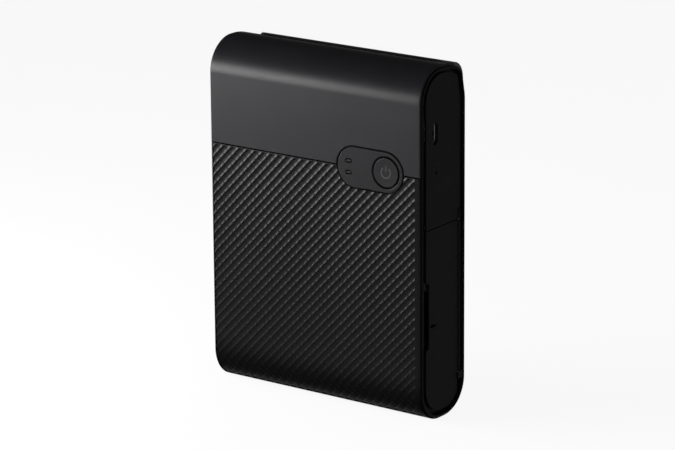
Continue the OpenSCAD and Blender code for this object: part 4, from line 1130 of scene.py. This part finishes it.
class PRINTER_OT_controls(PrinterOperator, bpy.types.Operator):
    """Control island, power button with its symbol, and the light windows"""
    bl_idname = "printer.controls"
    bl_label = "Controls"

    def build(self, context):
        casing, controls = sizes(context, "casing"), sizes(context, "controls")
        front, seam = -casing.depth / 2, casing.seam
        straight = (controls.island_wide - controls.island_high) / 2
        back = front + controls.island_sheet
        x, r = controls.island_x, controls.island_high / 2
        island = stretched_rod("control_island_dressed", r, (x, front, seam), (x, back, seam), 0,
                               straight, 128)
        button_x, hole = controls.button_x, controls.button + controls.button_gap
        cut(island, rod("button_hole", hole, (button_x, front - 2, seam),
                        (button_x, back + 2, seam), 96))
        for side in (-1, 1):
            z = seam + side * controls.light_pitch / 2
            cut(island, light_window(controls, "light_hole", 0.25, front - 2, back + 2, z))
        weigh(island, lambda e: all(abs(v.co.y - front) < 0.01 for v in e.verts)
              and e.calc_face_angle(0) > 1.0
              and abs(e.verts[0].co.x - controls.light_x) > controls.light_wide, 1.0)
        bevel(island, 0.35)
        join(island, stretched_rod("flange", r + 1.2, (x, back - 0.1, seam),
                                   (x, back + 0.9, seam), 0, straight, 96), solver="MANIFOLD")
        cut(island, rod("button_hole", hole + 0.02, (button_x, back - 0.2, seam),
                        (button_x, back + 2, seam), 96), solver="MANIFOLD")
        complete(island, "body", finish(context, "island"), ["control_island"])

        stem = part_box("power_button")[1].y / METRE
        cap_back = back + 1.1
        button = rod("power_button_dressed", controls.button, (button_x, front, seam),
                     (button_x, cap_back, seam), 128)
        with editing(button):
            pick(button, "FACE", lambda f: f.normal.y < -0.9)
            bpy.ops.mesh.inset(thickness=0.3)
            for _ in range(9):
                bpy.ops.mesh.inset(thickness=0.5)
            bpy.ops.mesh.poke()
        ball = controls.button ** 2 / (2 * controls.dish)
        dish(button, (button_x, seam), front, controls.dish, ball, controls.button)
        weigh(button, lambda e: e.calc_face_angle(0) > 1.0
              and all(v.co.y < front + 0.3 for v in e.verts), 1.0)
        bevel(button, 0.16, 2)
        join(button, rod("skirt", controls.button + 0.9, (button_x, cap_back - 0.1, seam),
                         (button_x, cap_back + 0.8, seam), 64),
             rod("stem", 1.2, (button_x, cap_back - 0.1, seam), (button_x, stem, seam), 32))
        complete(button, "power_button", finish(context, "island"), ["power_button"])

        symbol = power_symbol((button_x, seam), front, controls.dish, ball)
        complete(symbol, "power_button", finish(context, "symbol"), weighted=False)

        windows, pipe_end = None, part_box("led_windows")[1].y / METRE
        wide, high = controls.light_wide / 2 - 0.4, controls.light_high / 2 - 0.2
        for side in (-1, 1):
            z = seam + side * controls.light_pitch / 2
            window = light_window(controls, "led_windows_dressed", 0, front + WINDOW_SUNK,
                                  back + 0.4, z)
            with editing(window):
                pick(window, "FACE", lambda f: f.normal.y < -0.9)
                bpy.ops.mesh.inset(thickness=0.26)
                pull(0, -WINDOW_RAISED, 0)
            join(window, block("pipe", (controls.light_x - wide, back - 0.1, z - high),
                               (controls.light_x + wide, pipe_end, z + high)))
            windows = window if windows is None else join(windows, window)
        complete(windows, "body", finish(context, "light_window"), ["led_windows"])


def light_window(controls, name, grow, front, back, z):
    """A bar with rounded corners, for a light window or the hole that it stands in."""
    wide, high = controls.light_wide / 2 + grow, controls.light_high / 2 + grow
    obj = block(name, (controls.light_x - wide, front, z - high),
                (controls.light_x + wide, back, z + high))
    weigh(obj, lambda e: abs(e.verts[0].co.y - e.verts[1].co.y) > 0.5, 1.0)
    return bevel(obj, 0.55 + grow, 5)


def dish_depth(distance, depth, ball):
    """How far the button's dished face lies behind its rim plane, at a distance from its middle."""
    return depth - (ball - math.sqrt(ball * ball - distance * distance))


def dish(obj, middle, front, depth, ball, radius):
    """Lowers the button's face to its dish, ring by ring."""
    rings = sorted({round((Vector((v.co.x - middle[0], v.co.z - middle[1]))).length, 2)
                    for v in obj.data.vertices if abs(v.co.y - front) < 0.001})
    for ring in rings:
        if ring > radius - 0.2:
            continue
        move_where(obj, lambda v: abs(v.co.y - front) < 0.001 and abs(
            math.hypot(v.co.x - middle[0], v.co.z - middle[1]) - ring) < 0.02,
            (0, max(0.002, dish_depth(ring, depth, ball)), 0))


def power_symbol(middle, front, depth, ball):
    """The plain power symbol, an open ring and a bar, printed on the dished face."""
    stroke = SYMBOL_STROKE
    bpy.ops.object.select_all(action="DESELECT")
    bpy.ops.mesh.primitive_plane_add(size=1, rotation=(math.radians(90), 0, 0))
    obj = name_it("power_symbol")
    obj.scale = (stroke, 0.04, 1)
    obj.location = (SYMBOL_RADIUS, 0, 0)
    obj.rotation_euler = (0, 0, 0)
    apply_placing()
    with editing(obj):
        bpy.ops.mesh.select_mode(type="FACE")
        select_every()
        bpy.ops.mesh.spin(steps=36, angle=math.radians(360 - SYMBOL_OPENING), center=(0, 0, 0),
                          axis=(0, 1, 0))
    tidy(obj)
    # turn the opening to the top
    xs = [Vector((v.co.x, v.co.z)) for v in obj.data.vertices]
    mid = sum((p.normalized() for p in xs), Vector((0, 0))) / len(xs)
    turn = math.atan2(mid.y, mid.x) - math.radians(-90)
    obj.rotation_euler = (0, turn, 0)
    apply_placing()
    bar = block("bar", (-stroke / 2, -0.02, 0.35), (stroke / 2, 0.02, 2.75))
    with editing(bar):
        select_every()
        bpy.ops.mesh.subdivide(number_cuts=3)
    join(obj, bar)
    for vertex in obj.data.vertices:
        distance = math.hypot(vertex.co.x, vertex.co.z)
        vertex.co.y += front + dish_depth(distance, depth, ball)
        vertex.co.x += middle[0]
        vertex.co.z += middle[1]
    return tidy(obj, 0.0001)


SHELL_FLOOR = 0.8  # from the back of the inlet's shell to its floor


class PRINTER_OT_inlet(PrinterOperator, bpy.types.Operator):
    """Power inlet with its tongue"""
    bl_idname = "printer.inlet"
    bl_label = "Power inlet and reset"

    def build(self, context):
        ends = sizes(context, "ends")
        mouth = ends.panel_outer - ends.panel_sheet - 0.1
        straight, half_long = (ends.inlet_long - ends.inlet_wide) / 2, ends.inlet_long / 2
        y, z, r = ends.inlet_y, ends.inlet_z, ends.inlet_wide / 2
        low, high = (Vector(c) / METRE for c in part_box("usb_connector"))
        shell = stretched_rod("usb_connector_dressed", r, (low.x, y, z), (mouth, y, z), 2,
                              straight)
        with editing(shell):
            pick(shell, "FACE", lambda f: f.normal.x > 0.9)
            bpy.ops.mesh.inset(thickness=0.3)
            pull(low.x + SHELL_FLOOR - mouth, 0, 0)
        bevel(shell, 0.08, 2, "ANGLE", 50)
        join(shell, block("feet", (low.x + 0.5, -6.7, z - half_long + 0.5),
                          (high.x - 3.0, y - 0.9, z + half_long - 0.5)))
        complete(shell, "body", finish(context, "connector_shell"),
                 ["usb_connector"])
        tongue = block("usb_tongue", (low.x + 0.7, y - 0.35, z - half_long + 1.1),
                       (mouth - 0.8, y + 0.35, z + half_long - 1.1))
        bevel(tongue, 0.12, 2, "ANGLE", 50)
        complete(tongue, "body", finish(context, "component_black"))


NODE_FINISHES = {
    "inner_plastic": ["inner_frame", "pinch_holder", "paper_guide", "reset_button"],
    "cassette_plastic": ["cassette_frame"],
    "sheet_steel": ["chassis_plate_left", "chassis_plate_right", "head_bracket"],
    "bright_steel": ["paper_cover_pin", "door_hinge_pin", "platen_shaft", "pickup_shaft",
                     "capstan_roller", "head_springs", "pressure_springs", "end_screws",
                     "board_screws"],
    "connector_shell": ["shield_can"],
    "circuit_board": ["main_board"],
    "component_black": ["board_chips", "power_switch", "reset_switch"],
    "led": ["status_leds"],
    "battery_wrap": ["battery"],
    "aluminium": ["head_heatsink", "pressure_plate"],
    "ceramic": ["head_strip"],
    "roller_rubber": ["platen_roller", "pickup_roller", "pinch_roller"],
    "acetal": ["shaft_bushes", "feed_idler", "pickup_gear", "capstan_gear", "ribbon_idler",
               "ribbon_drive_gear", "supply_core", "takeup_core"],
    "motor_can": ["feed_motor", "ribbon_motor"],
    "brass": ["feed_pinion", "ribbon_pinion"],
    "ink_film": ["supply_ribbon", "takeup_ribbon", "ribbon_film"],
    "photo_paper": ["paper_stack"],
}


class PRINTER_OT_inner_finishes(PrinterOperator, bpy.types.Operator):
    """Finishes of the works inside, which keep their CAD shapes"""
    bl_idname = "printer.inner_finishes"
    bl_label = "Finishes of the works"

    def build(self, context):
        for name, members in NODE_FINISHES.items():
            for member in members:
                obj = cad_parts[member]
                obj.data.materials.clear()
                obj.data.materials.append(finish(context, name))


HORIZON = (-0.05, 0.06)  # where gloss goes over from white to the ceiling, as a direction's rise
KEY_LIGHT = (-0.33, -0.24, 0.15), (0.34, 0.14)  # place and size, in metres
FILL_LIGHT = (0.7, -0.7, 0.3), (0.2, 0.2)
LIGHT_AIM = Vector((0, 0, 0.07))
TARGET_HEIGHT, TARGET_SHIFT = 0.07165, (0.000164, -0.001335)  # what the camera looks at


class PRINTER_OT_stage(PrinterOperator, bpy.types.Operator):
    """Pale floor, soft lights, white surroundings and the camera"""
    bl_idname = "printer.stage"
    bl_label = "Studio"

    def build(self, context):
        studio = sizes(context, "studio")
        bpy.ops.object.select_all(action="DESELECT")
        bpy.ops.mesh.primitive_plane_add(size=6, location=(0, 0, 0))
        floor = name_it("studio_floor")
        material, tree, shader = new_material("pale floor")
        feed(tree, shader, {"Base Color": ramp(tree, noise(tree, 3.0), (0.80,) * 3, (0.84,) * 3),
                            "Roughness": 0.9, "Specular IOR Level": 0.0})
        glow = node(tree, "ShaderNodeEmission", {"Color": (1, 1, 1, 1), "Strength": 1.0})
        seen = plainly_seen(tree)
        share = node(tree, "ShaderNodeMath", {0: seen, 1: studio.floor_glow}, operation="MULTIPLY")
        mixed = node(tree, "ShaderNodeMixShader", {0: share.outputs[0], 1: shader.outputs[0],
                                                   2: glow.outputs[0]})
        tree.links.new(mixed.outputs[0], tree.nodes["Material Output"].inputs["Surface"])
        floor.data.materials.append(material)

        world = bpy.data.worlds.new("white surroundings")
        context.scene.world = world
        world.use_nodes = True
        tree = world.node_tree
        paths = node(tree, "ShaderNodeLightPath")
        mirrored = node(tree, "ShaderNodeMath", {0: paths.outputs["Is Glossy Ray"],
                                                 1: paths.outputs["Is Transmission Ray"]},
                        operation="MAXIMUM").outputs[0]
        height = node(tree, "ShaderNodeSeparateXYZ", {0: node(
            tree, "ShaderNodeTexCoord").outputs["Generated"]}).outputs["Z"]
        above = spread(tree, height, 1.0, studio.ceiling, *HORIZON, interpolation_type="SMOOTHSTEP")
        level = node(tree, "ShaderNodeMix", {"Factor": mirrored, "A": studio.ambient, "B": above})
        level = node(tree, "ShaderNodeMix", {"Factor": paths.outputs["Is Camera Ray"],
                                             "A": level.outputs["Result"], "B": 1.0})
        tree.nodes["Background"].inputs["Color"].default_value = (1, 1, 1, 1)
        tree.links.new(level.outputs["Result"], tree.nodes["Background"].inputs["Strength"])

        for name, watts, place, size in (("key", studio.key, *KEY_LIGHT),
                                         ("fill", studio.fill, *FILL_LIGHT)):
            light = bpy.data.lights.new(name, "AREA")
            light.shape, light.size, light.size_y, light.energy = "RECTANGLE", *size, watts
            lamp = bpy.data.objects.new(name, light)
            context.scene.collection.objects.link(lamp)
            lamp.location = place
            lamp.rotation_mode = "QUATERNION"
            lamp.rotation_quaternion = (LIGHT_AIM - Vector(place)).to_track_quat("-Z", "Y")

        back = Vector((math.sin(studio.azimuth) * math.cos(studio.elevation),
                       -math.cos(studio.azimuth) * math.cos(studio.elevation),
                       math.sin(studio.elevation)))
        right = Vector((math.cos(studio.azimuth), math.sin(studio.azimuth), 0))
        up = back.cross(right)
        c, s = math.cos(studio.roll), math.sin(studio.roll)
        target = Vector((0, 0, TARGET_HEIGHT)) + TARGET_SHIFT[0] * right + TARGET_SHIFT[1] * up
        across, over = right * c + up * s, up * c - right * s
        camera = bpy.data.cameras.new("camera")
        camera.lens, camera.sensor_width, camera.sensor_fit = studio.lens, 36.0, "HORIZONTAL"
        camera.clip_start, camera.clip_end = 0.05, 20.0
        viewer = bpy.data.objects.new("camera", camera)
        context.scene.collection.objects.link(viewer)
        place = target + back * studio.distance * METRE
        viewer.matrix_world = Matrix((
            (across.x, over.x, back.x, place.x), (across.y, over.y, back.y, place.y),
            (across.z, over.z, back.z, place.z), (0, 0, 0, 1)))
        context.scene.camera = viewer
        context.scene.view_settings.view_transform = "Standard"


OPERATORS = (PRINTER_OT_upper_cover, PRINTER_OT_front_panel, PRINTER_OT_rear_cover,
             PRINTER_OT_paper_cover, PRINTER_OT_end_frames, PRINTER_OT_side_panels,
             PRINTER_OT_controls, PRINTER_OT_inlet, PRINTER_OT_inner_finishes, PRINTER_OT_stage)


class PRINTER_PT_panel(bpy.types.Panel):
    """The steps that build the printer"""
    bl_idname = "PRINTER_PT_panel"
    bl_label = "Photo printer"
    bl_space_type = "VIEW_3D"
    bl_region_type = "UI"
    bl_category = "Printer"

    def draw(self, context):
        for operator in OPERATORS:
            self.layout.operator(operator.bl_idname)


def register():
    for name, group in GROUPS.items():
        bpy.utils.register_class(group)
        setattr(bpy.types.Scene, "printer_" + name, PointerProperty(type=group))
    for made in (*OPERATORS, PRINTER_PT_panel):
        bpy.utils.register_class(made)


def unregister():
    for made in reversed((*OPERATORS, PRINTER_PT_panel)):
        bpy.utils.unregister_class(made)
    for name, group in GROUPS.items():
        delattr(bpy.types.Scene, "printer_" + name)
        bpy.utils.unregister_class(group)


def main():
    register()
    for operator in OPERATORS:
        group, name = operator.bl_idname.split(".")
        getattr(getattr(bpy.ops, group), name)()


if __name__ == "__main__":
    main()
